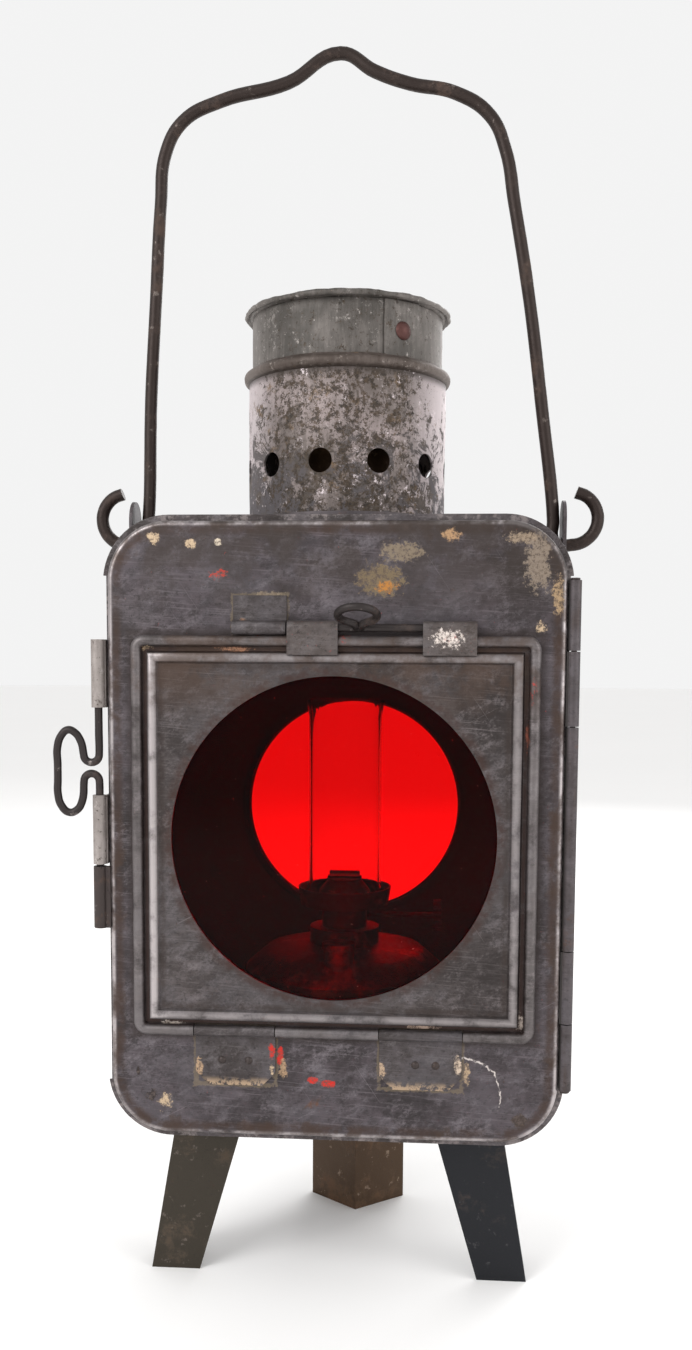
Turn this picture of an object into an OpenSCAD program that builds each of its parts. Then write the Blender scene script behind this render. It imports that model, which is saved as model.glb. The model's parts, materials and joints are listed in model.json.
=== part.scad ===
// Oil-burning railway signal lantern: a sheet-metal casing on three legs with a hinged front
// door, a hinged square lens frame with a red glass, a vented chimney, a wire bail and an oil
// burner inside. X is across, the front faces -Y, Z is up. The origin is on the ground, on the
// axis of the chimney and the burner.

/* [Casing] */
// Width of the casing
body_w = 203; // [165:1:250]
// Height of the casing
body_h = 277; // [225:1:340]
// Depth of the casing, front flange to back edge
body_d = 130; // [116:1:180]
// Radius of the casing's corners
body_r = 28; // [22:1:34]
// Thickness of the casing and chimney sheet
sheet = 1; // [0.8:0.1:1.4]
// Height of the casing above the ground
leg_h = 79; // [60:1:100]
// How far the front flange stands out past the casing
rim_out = 1.5; // [1:0.1:2]
// Width of the front flange inside the casing
rim_in = 5; // [4:0.5:8]
// Radius of the round back window
window_r = 57.5; // [45:0.5:60]

/* [Door] */
// How far the casing shows round the door
door_margin = 1.5; // [1:0.1:2]
// Depth of the door's folded edge
door_lip = 4.6; // [4:0.1:6]
// Thickness of the door sheet
door_sheet = 1.2; // [0.8:0.1:1.5]
// Height of each of the door's two hinge knuckles
door_knuckle_h = 33; // [20:1:40]
// Height of the casing's long middle hinge knuckle
mid_knuckle_h = 98; // [60:1:110]

/* [Lens frame] */
// Space beside the lens frame on each side of the door
lens_margin = 11; // [9:0.5:14]
// Width of the metal beside the round opening
lens_border = 17.5; // [15:0.5:22]
// How far the lens sits below the middle of the door
lens_drop = 1.5; // [0:0.5:4]
// Radius of the frame's rolled edge and of its hinge barrel
roll_r = 2.5; // [2.2:0.1:2.8]
// Thickness of the coloured glass
glass_t = 3; // [2:0.5:4]
// Length of the hinge leaves on the door
leaf_h = 25.5; // [18:0.5:28]

/* [Chimney] */
// Outer radius of the lower chimney
chimney_r = 47; // [38:0.5:49]
// How much smaller the upper band's radius is
band_in = 1.8; // [1:0.1:3]
// Height from the casing to the bead
bead_up = 71; // [55:1:90]
// Height of the upper band above the bead
band_h = 27.5; // [20:0.5:40]
// Number of vent holes
vent_n = 11; // [7:1:12]
// Diameter of a vent hole
vent_d = 11; // [8:0.5:13]
// Height of the vent holes above the casing
vent_up = 27.5; // [20:0.5:40]
// How far the cap stands out past the band
cap_out = 3.7; // [3:0.1:5]

/* [Bail] */
// Diameter of the bail rod
bail_d = 6; // [5:0.1:7.2]
// Height of the bail's peak above its pivots
bail_h = 228; // [190:1:275]
// Radius of the curl outside each ear
curl_r = 12.5; // [11:0.5:14]

/* [Bolts and pins] */
// Diameter of the two bolt wires
wire_d = 3.5; // [3:0.1:4.2]
// Diameter of the hinge pins
pin_d = 2.5; // [2:0.1:2.8]
// Outer diameter of the door hinge knuckles
knuckle_d = 5.5; // [5:0.1:6]
// How far both bolts are drawn back from their shut place
bolt_draw = 5; // [4:0.5:6]

/* [Legs] */
// Width of a front leg at the casing
leg_top_w = 33; // [26:1:38]
// Width of a front leg at the ground
leg_foot_w = 23.5; // [18:0.5:28]
// How far a front leg spreads outwards
leg_splay = 18; // [8:1:22]
// Thickness of the leg sheet
leg_t = 1.6; // [1.2:0.1:2]

/* [Burner] */
// Radius of the oil font
font_r = 49; // [40:1:50]
// Height of the oil font
font_h = 74; // [60:1:80]
// Outer diameter of the lamp glass
glass_d = 36; // [32:1:40]
// Length of the lamp glass
glass_h = 100; // [80:1:105]
// Width of the wick
wick_w = 15; // [12:0.5:18]

/* [Hidden] */
$fn = 96;

// Clearances
run = 0.05;      // a pin in its hinge bore, on the radius
wire_play = 0.15; // a bolt wire in its guide, on the radius
gap = 0.4;       // between pieces that pass each other
cut = 1;         // how far a cutting shape runs past what it cuts

// Bends in a rod: the straights stop this share of the radius short of a slightly larger ball
bend_trim = 0.21;
bend_swell = 1.03;

// Casing and door planes
side_x = body_w / 2;
front_y = -body_d / 2;
back_y = body_d / 2;
floor_z = leg_h;
top_z = leg_h + body_h;
mid_z = leg_h + body_h / 2;
lens_z = mid_z - lens_drop;
door_w = body_w - 2 * door_margin;
door_h = body_h - 2 * door_margin;
door_r = body_r - door_margin;
door_back_y = front_y - gap;
door_y = door_back_y - door_lip;
back_sheet = 1.2;
back_rim = 2.5;

// Lens frame
lens_w = door_w - 2 * lens_margin;
lens_half = lens_w / 2;
aperture_r = lens_half - lens_border;
roll_bend = 6;
roll_at = lens_half - roll_r;
lens_back_y = door_y - 0.3;
roll_y = lens_back_y - roll_r;
flange_t = 1.2;
ridge_out = lens_half - 7.5;
ridge_w = 4.5;
panel_t = 1;
panel_y = lens_back_y - 3.2;
ridge_y = roll_y - roll_r;
pocket_half = ridge_out - panel_t;
glass_r = aperture_r + 3.5;
glass_y = panel_y + panel_t;
retainer_y = glass_y + glass_t;
retainer_t = 1.2;
door_hole_half = ridge_out;
lens_axis_z = lens_z - roll_at;

// Lens hinge leaves: [nearest edge, farthest edge] from the middle
leaf_left = [-25.5, -61.5];
leaf_right = [21, 57.5];
leaf_t = 1;

// Lens latch: a sliding wire with a ring, carried by two guides on the frame
wire_r = wire_d / 2;
guide_wall = 1.15;
guide_r = wire_r + wire_play + guide_wall;
latch_z = lens_z + lens_half + gap / 2 + guide_r;
latch_y = door_y - gap - guide_r;
guide_left_x = [-20, 2];
guide_right_x = [38.5, 61.5];
keeper_x = [-44, -20.6];
keeper_h = 17;
ring_r = 8.25;
ring_reach = 13.5;
ring_tilt = 22;
ring_shut_x = 6;
ring_x = ring_shut_x + bolt_draw;

// Door hinge and side bolt share the distance of their axes from the casing
knuckle_r = knuckle_d / 2;
hinge_x = door_w / 2 + knuckle_r + 0.45;
hinge_y = door_back_y - door_lip / 2 + 0.2;
hinge_gap = 0.4;
side_leaf_t = 1;
side_leaf_d = 17;
bolt_x = -(side_x + guide_r + gap);

// Heights on the casing's sides, measured from the middle of the lens
door_knuckle_top = lens_z + mid_knuckle_h / 2 + 1;
door_knuckle_low = lens_z - mid_knuckle_h / 2 + 1;
end_knuckle_h = 30;
guide_up_z = [lens_z + 57, lens_z + 87];
guide_low_z = [lens_z - 13, lens_z + 18];
bolt_keeper_z = [lens_z - 42, lens_z - 14];
notch_z = [door_knuckle_low - door_knuckle_h - end_knuckle_h - 2,
           door_knuckle_top + door_knuckle_h + end_knuckle_h + 2];

// Chimney
chimney_in = chimney_r - sheet;
band_r = chimney_r - band_in;
bead_z = top_z + bead_up;
bead_r = 3;
vent_phase = 5.6;
band_low = bead_z - bead_r;
band_top = bead_z + band_h;
cap_edge = 2.7;
cap_rise = 3;
chimney_hole_r = chimney_r - 4;
lap_from = 25;
lap_to = 49;
lap_t = 0.8;

// Bail and ears
bail_r = bail_d / 2;
ear_t = 1.6;
ear_half = 10;
ear_leaf_h = 24;
pivot_z = top_z - 6;
ear_top = pivot_z + 21;
ear_low = pivot_z - 48;
ear_x = side_x + 1.6;
arm_x = side_x - 3;
curl_x = ear_x + ear_t + bail_r;

// Legs
leg_y = -37;
leg_leaf_d = 20;
leg_x = side_x - 41;
tab_d = 20;
back_leg_x = 4;
back_leg_half = 25;
back_leg_y = 35;
back_leg_v = 20;
rivet_r = 1.5;
rivet_head = 2.7;

// Burner
tray_t = 1;
font_sheet = 0.8;
font_z = floor_z + sheet + tray_t;
font_top = font_z + font_h;
collar_r = 17;
collar_h = 8;
spindle_z = font_top + collar_h + 5;
gallery_z = spindle_z + 6;
gallery_r = glass_d / 2 + 3.5;
lamp_glass_z = gallery_z + 1.2;
wick_t = 2;
tube_wall = 0.7;
tube_play = 0.2;
tube_top = gallery_z + 14;
wick_top = tube_top + 2.5;
wick_low = font_z + 16;
pinion_r = 3.2;
spindle_y = wick_t / 2 + 0.25 + pinion_r;
spindle_r = 1.2;
knob_r = 8;
knob_x = 44;

dark_iron = [0.2, 0.19, 0.19];
gunmetal = [0.32, 0.3, 0.32];
tin = [0.62, 0.61, 0.6];
rust = [0.42, 0.25, 0.17];
brass = [0.7, 0.56, 0.3];

// A flat outline drawn in X and Z, made a plate from y_front backwards
module plate(y_front, t) {
    translate([0, y_front + t, 0]) rotate([90, 0, 0]) linear_extrude(t) children();
}

// A rectangle with round corners, centred
module round_rect(w, h, r) {
    square([w - 2 * r, h], center = true);
    square([w, h - 2 * r], center = true);
    for (side_a = [-1, 1], side_b = [-1, 1])
        translate([side_a * (w / 2 - r), side_b * (h / 2 - r)]) circle(r);
}

// A box given by its low and high corners
module box(low, high) {
    translate(low) cube(high - low);
}

// A tube along X from x_span[0] to x_span[1]
module tube_x(x_span, r_out, r_in) {
    translate([x_span[0], 0, 0]) rotate([0, 90, 0]) difference() {
        cylinder(h = x_span[1] - x_span[0], r = r_out);
        translate([0, 0, -cut]) cylinder(h = x_span[1] - x_span[0] + 2 * cut, r = r_in);
    }
}

// A solid rod along X from x_span[0] to x_span[1]
module rod_x(x_span, r) {
    translate([x_span[0], 0, 0]) rotate([0, 90, 0]) cylinder(h = x_span[1] - x_span[0], r = r);
}

// One straight stretch of round rod, which stops just short of the bends at its ends
module rod_run(from, to, r) {
    way = to - from;
    length = norm(way);
    short = bend_trim * r;
    turn = atan2(way[1], way[0]);
    tilt = acos(way[2] / length);
    translate(from) rotate([0, tilt, turn]) translate([0, 0, short])
        cylinder(h = length - 2 * short, r = r);
}

// A bent round rod through a list of points, with a ball at each bend
module bent_rod(points, r) {
    for (i = [0 : len(points) - 2]) rod_run(points[i], points[i + 1], r);
    for (p = points) translate(p) sphere(bend_swell * r);
}

// Points along an arc in the X and Z plane
function arc(centre, r, from, to, steps) =
    [for (i = [0 : steps]) let (a = from + (to - from) * i / steps)
        [centre[0] + r * cos(a), centre[1], centre[2] + r * sin(a)]];

// A rivet along +Z: shank, and a domed head on the outside
module rivet(grip, r, head_r) {
    translate([0, 0, -grip]) cylinder(h = grip, r = r);
    intersection() {
        translate([0, 0, -head_r * 0.7]) sphere(head_r * 1.22);
        cylinder(h = head_r, r = head_r * 2);
    }
}

module casing_shell() {
    color(gunmetal) difference() {
        translate([0, 0, mid_z]) plate(front_y + sheet, body_d - sheet)
            round_rect(body_w, body_h, body_r);
        translate([0, 0, mid_z]) plate(front_y - cut, body_d + 2 * cut)
            round_rect(body_w - 2 * sheet, body_h - 2 * sheet, body_r - sheet);
        translate([0, 0, top_z - 2 * sheet]) cylinder(h = 4 * sheet, r = chimney_hole_r);
        leg_rivet_places() cylinder(h = 20, r = rivet_r, center = true);
        side_rivet_places() cylinder(h = 20, r = rivet_r, center = true);
        ear_rivet_places() cylinder(h = 20, r = rivet_r, center = true);
        base_rivet_places() cylinder(h = 20, r = rivet_r, center = true);
    }
}

// The flat flange that the door shuts against; its sides are notched for the hinge and bolt
module casing_front_flange() {
    notch_w = rim_out + cut;
    color(gunmetal) difference() {
        translate([0, 0, mid_z]) plate(front_y, sheet)
            round_rect(body_w + 2 * rim_out, body_h + 2 * rim_out, body_r + rim_out);
        translate([0, 0, mid_z]) plate(front_y - cut, sheet + 2 * cut)
            round_rect(body_w - 2 * rim_in, body_h - 2 * rim_in, body_r - rim_in);
        for (side = [-1, 1])
            translate([side * (side_x + notch_w / 2), front_y, (notch_z[0] + notch_z[1]) / 2])
                cube([notch_w, 4 * sheet, notch_z[1] - notch_z[0]], center = true);
    }
}

module back_plate() {
    color(gunmetal) difference() {
        union() {
            translate([0, 0, mid_z]) plate(back_y, back_sheet)
                round_rect(body_w + 2 * rim_out, body_h + 2 * rim_out, body_r + rim_out);
            translate([0, 0, mid_z]) plate(back_y - back_rim, back_rim + cut / 2) difference() {
                round_rect(body_w + 2 * rim_out, body_h + 2 * rim_out, body_r + rim_out);
                round_rect(body_w, body_h, body_r);
            }
        }
        translate([0, back_y, lens_z]) rotate([90, 0, 0])
            cylinder(h = 4 * back_sheet, r = window_r, center = true);
    }
}

// The outer ring that stiffens the back window
module back_window_ring() {
    color(gunmetal) translate([0, back_y + back_sheet, lens_z]) rotate([-90, 0, 0])
        rotate_extrude() union() {
            translate([window_r - 1, 0]) square([8, 1]);
            translate([window_r + 1, 1]) intersection() {
                circle(2);
                translate([-2, 0]) square([4, 2]);
            }
        }
}

module back_glass() {
    color([0.85, 0.9, 0.88, 0.4]) translate([0, back_y - glass_t, lens_z]) rotate([-90, 0, 0])
        cylinder(h = glass_t, r = window_r + 3);
}

// Places of the rivets through the chimney's foot and the casing top
module base_rivet_places() {
    for (i = [0 : 7]) rotate([0, 0, 22.5 + 45 * i])
        translate([chimney_r + 4, 0, top_z]) children();
}

module chimney_base_ring() {
    ring_t = 0.8;
    color(tin) {
        difference() {
            translate([0, 0, top_z]) rotate_extrude() union() {
                translate([chimney_r, 0]) square([7, ring_t]);
                translate([chimney_r, 0]) square([ring_t, 5]);
            }
            base_rivet_places() cylinder(h = 20, r = rivet_r, center = true);
        }
        base_rivet_places() translate([0, 0, ring_t]) rivet(ring_t + sheet, rivet_r, 2.2);
    }
}

module chimney_cylinder() {
    color(tin) difference() {
        translate([0, 0, top_z]) cylinder(h = band_low - top_z, r = chimney_r);
        translate([0, 0, top_z - cut]) cylinder(h = bead_up + 2 * cut, r = chimney_in);
        for (i = [0 : vent_n - 1])
            rotate([0, 0, vent_phase + (i - 0.5) * 360 / vent_n]) translate([0, -chimney_r, 0])
                translate([0, 0, top_z + vent_up]) rotate([90, 0, 0])
                    cylinder(h = 12, d = vent_d, center = true);
    }
}

module chimney_bead() {
    color(tin) translate([0, 0, bead_z]) rotate_extrude() union() {
        translate([band_r, -bead_r]) square([chimney_r - band_r, bead_r]);
        intersection() {
            translate([chimney_r - 0.7, 0]) circle(bead_r);
            translate([band_r, -bead_r]) square([8, 2 * bead_r]);
        }
    }
}

module chimney_band() {
    color(tin) difference() {
        translate([0, 0, band_low]) cylinder(h = band_top - band_low, r = band_r);
        translate([0, 0, band_low - cut])
            cylinder(h = band_top - band_low + 2 * cut, r = band_r - sheet);
        band_rivet_place() cylinder(h = 8, r = 2, center = true);
    }
}

module band_rivet_place() {
    rotate([0, 0, (lap_from + lap_to) / 2]) translate([0, -band_r - lap_t, band_top - 13])
        rotate([90, 0, 0]) children();
}

// The end of the band's sheet, lapped over its start and riveted
module band_lap_strip() {
    strip_low = bead_z + bead_r + 0.2;
    color(tin) difference() {
        translate([0, 0, strip_low]) rotate([0, 0, lap_from - 90])
            rotate_extrude(angle = lap_to - lap_from)
                translate([band_r, 0]) square([lap_t, band_top - strip_low]);
        band_rivet_place() cylinder(h = 8, r = 2, center = true);
    }
}

module band_rivet() {
    color(rust) band_rivet_place() {
        translate([0, 0, -lap_t - sheet - 0.4]) cylinder(h = lap_t + sheet + 0.4, r = 2);
        intersection() {
            translate([0, 0, -2.9]) sphere(5.1);
            translate([0, 0, 0.1]) cylinder(h = 5, r = 6);
        }
        cylinder(h = 0.2, r = 4);
    }
}

module chimney_cap() {
    cap_r = band_r + cap_out;
    color(tin) translate([0, 0, band_top]) rotate_extrude() polygon([
        [0, cap_edge + cap_rise], [band_r * 0.55, cap_edge + cap_rise * 0.75],
        [band_r * 0.9, cap_edge], [cap_r, cap_edge], [cap_r, 0], [band_r - 3, 0],
        [band_r - 5, cap_edge - 1.2], [band_r * 0.55, cap_edge + cap_rise * 0.75 - 1],
        [0, cap_edge + cap_rise - 1]
    ]);
}

// The cone inside the chimney that carries the smoke up past the vents
module inner_cowl() {
    cowl_t = 0.8;
    foot_r = chimney_in - 0.3;
    color(gunmetal) translate([0, 0, top_z]) rotate_extrude() polygon([
        [foot_r, 0], [foot_r, cowl_t], [chimney_hole_r, cowl_t], [26, 46], [26, 52],
        [26 - cowl_t, 52], [26 - cowl_t, 46], [chimney_hole_r - cowl_t, 0]
    ]);
}

// Outline of a front leg: splayed outwards and narrower at the ground
module leg_outline() {
    foot_x = leg_x + leg_splay;
    polygon([[leg_x - leg_top_w / 2, leg_h], [leg_x + leg_top_w / 2, leg_h],
        [foot_x + leg_foot_w / 2, 0], [foot_x - leg_foot_w / 2, 0]]);
}

// A front leg: a front leaf, a leaf folded back along its outer edge, and a tab on top
module front_leg(side) {
    foot_x = leg_x + leg_splay;
    out_top = leg_x + leg_top_w / 2;
    out_foot = foot_x + leg_foot_w / 2;
    mirror([side < 0 ? 1 : 0, 0, 0]) difference() {
        union() {
            plate(leg_y, leg_t) leg_outline();
            plate(leg_y, leg_leaf_d) polygon([[out_top - leg_t, leg_h], [out_top, leg_h],
                [out_foot, 0], [out_foot - leg_t, 0]]);
            box([leg_x - leg_top_w / 2, leg_y, leg_h - leg_t],
                [out_top, leg_y + tab_d, leg_h]);
        }
        leg_rivet_places() cylinder(h = 20, r = rivet_r, center = true);
    }
}

module leg_front_left() { color(dark_iron) front_leg(-1); }

module leg_front_right() { color(dark_iron) front_leg(1); }

// The back leg is a folded angle whose ridge faces forwards, with a tab across its top
module leg_back() {
    v = back_leg_v;
    half = back_leg_half;
    skin = leg_t * 1.3;
    color(rust) difference() {
        translate([back_leg_x, back_leg_y, 0]) {
            linear_extrude(leg_h) polygon([[0, 0], [half, v], [half, v + skin], [0, skin],
                [-half, v + skin], [-half, v]]);
            translate([0, 0, leg_h - leg_t]) linear_extrude(leg_t)
                polygon([[0, skin / 2], [half, v + skin / 2], [-half, v + skin / 2]]);
        }
        leg_rivet_places() cylinder(h = 20, r = rivet_r, center = true);
    }
}

// Two rivets through each leg's tab and the casing floor
module leg_rivet_places() {
    for (side = [-1, 1], along = [-8, 8])
        translate([side * (leg_x + along), leg_y + tab_d / 2, leg_h - leg_t])
            rotate([180, 0, 0]) children();
    for (along = [-7, 7])
        translate([back_leg_x + along, back_leg_y + back_leg_v * 0.7, leg_h - leg_t])
            rotate([180, 0, 0]) children();
}

module leg_rivets() {
    color(dark_iron) leg_rivet_places() rivet(leg_t + sheet, rivet_r, rivet_head);
}

// An ear: an upright plate with the pivot hole, stood off the casing by a folded leaf
module bail_ear(side) {
    hole_r = bail_r + 0.5;
    mirror([side < 0 ? 1 : 0, 0, 0]) difference() {
        union() {
            box([ear_x, -ear_half, ear_low], [ear_x + ear_t, ear_half, ear_top - ear_half]);
            translate([ear_x, 0, ear_top - ear_half]) rotate([0, 90, 0])
                cylinder(h = ear_t, r = ear_half);
            box([side_x, -ear_half, ear_low], [ear_x, ear_half, ear_low + ear_leaf_h]);
        }
        translate([ear_x - cut, 0, pivot_z]) rotate([0, 90, 0])
            cylinder(h = ear_t + 2 * cut, r = hole_r);
        ear_rivet_places() cylinder(h = 20, r = rivet_r, center = true);
    }
}

module bail_ear_left() { color(gunmetal) bail_ear(-1); }

module bail_ear_right() { color(gunmetal) bail_ear(1); }

module ear_rivet_places() {
    for (side = [-1, 1], up = [6, 18])
        translate([side * (ear_x + ear_t), 0, ear_low + up]) rotate([0, side * 90, 0]) children();
}

module ear_rivets() {
    color(gunmetal) ear_rivet_places() rivet(ear_x + ear_t - side_x + sheet, rivet_r, 3);
}

// One side of the bail, from the tip of its curl to its last point before the peak. The bends
// are [distance in from the arm's foot, share of the bail's height]: the rod is bent by hand,
// so its two sides differ.
left_bends = [[1, 0.05], [3, 0.31], [5.7, 0.51], [8.5, 0.71], [11, 0.81], [19.4, 0.873],
    [37.6, 0.912], [69.9, 0.945]];
right_bends = [[-0.6, 0.05], [6.3, 0.3], [12.5, 0.5], [20.5, 0.7], [24.8, 0.8], [32.4, 0.87],
    [48.8, 0.916], [69.8, 0.936], [86.2, 0.962]];

function bail_side(side, bends) = concat(
    [for (p = arc([curl_x, 0, pivot_z + curl_r], curl_r, 80, -90, 8)) [side * p[0], 0, p[2]]],
    [[side * (arm_x + 2.6), 0, pivot_z], [side * (arm_x + 0.4), 0, pivot_z + 3.4]],
    [for (b = bends) [side * (arm_x - b[0]), 0, pivot_z + b[1] * bail_h]]);

function reversed(list) = [for (i = [len(list) - 1 : -1 : 0]) list[i]];

module bail() {
    peak = [-4, 0, pivot_z + bail_h];
    color(dark_iron) bent_rod(concat(bail_side(-1, left_bends), [peak],
        reversed(bail_side(1, right_bends))), bail_r);
}

// A knuckle round the door hinge axis, from z_span[0] to z_span[1]
module door_knuckle(z_span) {
    translate([hinge_x, hinge_y, z_span[0]]) cylinder(h = z_span[1] - z_span[0], r = knuckle_r);
}

module door_hinge_bore() {
    translate([hinge_x, hinge_y, 0]) cylinder(h = top_z, r = pin_d / 2 + run);
}

// Heights of the casing's three knuckles, between and beyond the door's two
function casing_knuckle_spans() = [
    [door_knuckle_low - door_knuckle_h - end_knuckle_h, door_knuckle_low - door_knuckle_h],
    [door_knuckle_low, door_knuckle_top],
    [door_knuckle_top + door_knuckle_h, door_knuckle_top + door_knuckle_h + end_knuckle_h]
];

module casing_hinge_knuckles() {
    color(gunmetal) difference() {
        for (span = casing_knuckle_spans()) {
            door_knuckle(span);
            box([side_x, hinge_y, span[0]], [side_x + side_leaf_t, hinge_y + side_leaf_d, span[1]]);
        }
        door_hinge_bore();
        side_rivet_places() cylinder(h = 20, r = rivet_r, center = true);
    }
}

module door_hinge_knuckles() {
    spans = [[door_knuckle_low - door_knuckle_h + hinge_gap, door_knuckle_low - hinge_gap],
        [door_knuckle_top + hinge_gap, door_knuckle_top + door_knuckle_h - hinge_gap]];
    color(gunmetal) difference() {
        for (span = spans) {
            door_knuckle(span);
            box([door_w / 2, hinge_y - 1.8, span[0]],
                [hinge_x - knuckle_r / 2, hinge_y + 1.8, span[1]]);
        }
        door_hinge_bore();
    }
}

module door_hinge_pin() {
    spans = casing_knuckle_spans();
    color(dark_iron) translate([hinge_x, hinge_y, 0]) {
        translate([0, 0, spans[0][0]]) cylinder(h = spans[2][1] - spans[0][0], r = pin_d / 2);
        translate([0, 0, spans[2][1]]) cylinder(h = 1, r = pin_d / 2 + 0.8);
        translate([0, 0, spans[0][0] - 1]) cylinder(h = 1, r = pin_d / 2 + 0.8);
    }
}

// A guide for the side bolt: a tube and a leaf riveted to the casing's left side
module bolt_guide(z_span) {
    difference() {
        union() {
            translate([bolt_x, hinge_y, z_span[0]])
                cylinder(h = z_span[1] - z_span[0], r = guide_r);
            box([-side_x - side_leaf_t, hinge_y, z_span[0]],
                [-side_x, hinge_y + side_leaf_d, z_span[1]]);
        }
        translate([bolt_x, hinge_y, z_span[0] - cut])
            cylinder(h = z_span[1] - z_span[0] + 2 * cut, r = wire_r + wire_play);
        side_rivet_places() cylinder(h = 20, r = rivet_r, center = true);
    }
}

module bolt_guide_upper() { color(tin) bolt_guide(guide_up_z); }

module bolt_guide_lower() { color(tin) bolt_guide(guide_low_z); }

// Rivets through the leaves on both sides of the casing
module side_rivet_places() {
    leaf_middle_y = hinge_y + side_leaf_d - 6;
    for (span = casing_knuckle_spans(), end = [0, 1])
        translate([side_x + side_leaf_t, leaf_middle_y, span[end] + (1 - 2 * end) * 8])
            rotate([0, 90, 0]) children();
    for (span = [guide_up_z, guide_low_z], end = [0, 1])
        translate([-side_x - side_leaf_t, leaf_middle_y, span[end] + (1 - 2 * end) * 7])
            rotate([0, -90, 0]) children();
}

module side_rivets() {
    color(gunmetal) side_rivet_places() rivet(side_leaf_t + sheet, rivet_r, 2.4);
}

// The side bolt: a wire bent into a long finger loop between its two guides
module door_bolt() {
    lift = lens_z + bolt_draw;
    bend = 3.5;
    loop_out = 18.9;
    points = concat(
        [[0, 0, 81]],
        arc([-bend, 0, 31], bend, 0, -180, 9),
        [[-8.3, 0, 37], [-11, 0, 40.8], [-14, 0, 41.9], [-17, 0, 39.5], [-loop_out, 0, 34],
            [-loop_out, 0, 13], [-17.4, 0, 8], [-14, 0, 5], [-10.5, 0, 6], [-8, 0, 10]],
        arc([-bend, 0, 19], bend, 180, 0, 9),
        [[0, 0, -18.5 + wire_r]]);
    color(dark_iron) bent_rod([for (p = points) [bolt_x + p[0], hinge_y, lift + p[2]]], wire_r);
}

module door_plate() {
    color(gunmetal) difference() {
        translate([0, 0, mid_z]) plate(door_y, door_lip) round_rect(door_w, door_h, door_r);
        translate([0, 0, mid_z]) plate(door_y + door_sheet, door_lip)
            round_rect(door_w - 2 * door_sheet, door_h - 2 * door_sheet, door_r - door_sheet);
        translate([0, 0, lens_z]) plate(door_y - cut, door_sheet + 2 * cut)
            square(2 * door_hole_half, center = true);
        leaf_rivet_places() cylinder(h = 20, r = 1, center = true);
    }
}

// The keeper on the door's edge that the side bolt drops into
module door_bolt_keeper() {
    z_span = bolt_keeper_z;
    color(dark_iron) difference() {
        union() {
            translate([bolt_x, hinge_y, z_span[0]])
                cylinder(h = z_span[1] - z_span[0], r = guide_r);
            box([bolt_x, hinge_y - 1.2, z_span[0]], [-door_w / 2, hinge_y + 1.2, z_span[1]]);
        }
        translate([bolt_x, hinge_y, z_span[0] + 2])
            cylinder(h = z_span[1] - z_span[0], r = wire_r + wire_play);
    }
}

// The keeper above the lens frame: a plate on the door, rolled over the latch wire
module latch_keeper() {
    plate_t = 1.2;
    color(gunmetal) difference() {
        union() {
            box([keeper_x[0], door_y - plate_t, latch_z],
                [keeper_x[1], door_y, latch_z - guide_r + keeper_h]);
            translate([0, latch_y, latch_z]) tube_x(keeper_x, guide_r, wire_r + wire_play);
        }
        translate([0, latch_y, latch_z])
            rod_x([keeper_x[0] - cut, keeper_x[1] + cut], wire_r + wire_play);
    }
}

// A guide on the lens frame: a tab from the frame's ridge, rolled over the latch wire
module latch_guide(x_span) {
    tab_t = 1.1;
    tab_front = latch_y - guide_r;
    tab_low = lens_z + ridge_out - 1;
    difference() {
        union() {
            translate([0, latch_y, latch_z])
                tube_x(x_span, guide_r, wire_r + wire_play);
            box([x_span[0], tab_front, tab_low], [x_span[1], tab_front + tab_t, latch_z]);
            box([x_span[0], tab_front + tab_t / 2, lens_z + ridge_out],
                [x_span[1], lens_back_y - flange_t, lens_z + ridge_out + 2.2]);
        }
        translate([0, roll_y, lens_z + roll_at])
            rod_x([x_span[0] - cut, x_span[1] + cut], roll_r);
        translate([0, latch_y, latch_z])
            rod_x([x_span[0] - cut, x_span[1] + cut], wire_r + wire_play);
    }
}

module latch_guide_left() { color(gunmetal) latch_guide(guide_left_x); }

module latch_guide_right() { color(gunmetal) latch_guide(guide_right_x); }

// The latch wire with its ring, which tilts up and out from the frame
module lens_latch_bolt() {
    color(dark_iron) translate([0, latch_y, latch_z]) {
        translate([guide_left_x[0] - 0.2, 0, 0]) rotate([0, 90, 0])
            cylinder(h = guide_right_x[1] - guide_left_x[0] - 0.3, r = wire_r);
        translate([ring_x, 0, 0]) rotate([-ring_tilt, 0, 0]) {
            translate([0, -ring_reach, 0]) rotate_extrude() translate([ring_r, 0]) circle(wire_r);
            rotate([90, 0, 0]) cylinder(h = ring_reach - ring_r, r = wire_r * 1.3);
        }
    }
}

module leaf_rivet_places() {
    for (x = [leaf_left[0] - 12, leaf_left[1] + 12, leaf_right[0] + 16, leaf_right[0] + 25])
        translate([x, door_y - leaf_t, lens_axis_z - 14]) rotate([90, 0, 0]) children();
}

// A hinge leaf on the door: a plate with two cut corners and a knuckle
module lens_leaf(x_span) {
    low = lens_axis_z - leaf_h;
    corner = 6;
    x_min = min(x_span);
    x_max = max(x_span);
    difference() {
        union() {
            plate(door_y - leaf_t, leaf_t) polygon([[x_min, lens_axis_z], [x_max, lens_axis_z],
                [x_max, low + corner], [x_max - corner, low], [x_min + corner, low],
                [x_min, low + corner]]);
            translate([0, roll_y, lens_axis_z]) tube_x([x_min, x_max], roll_r, pin_d / 2 + run);
        }
        translate([0, roll_y, lens_axis_z]) rod_x([x_min - cut, x_max + cut], pin_d / 2 + run);
        leaf_rivet_places() cylinder(h = 20, r = 1, center = true);
    }
}

module lens_hinge_leaf_left() { color(gunmetal) lens_leaf(leaf_left); }

module lens_hinge_leaf_right() { color(gunmetal) lens_leaf(leaf_right); }

module lens_leaf_rivets() {
    color(dark_iron) leaf_rivet_places() rivet(leaf_t + door_sheet, 1, 1.8);
}

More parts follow.
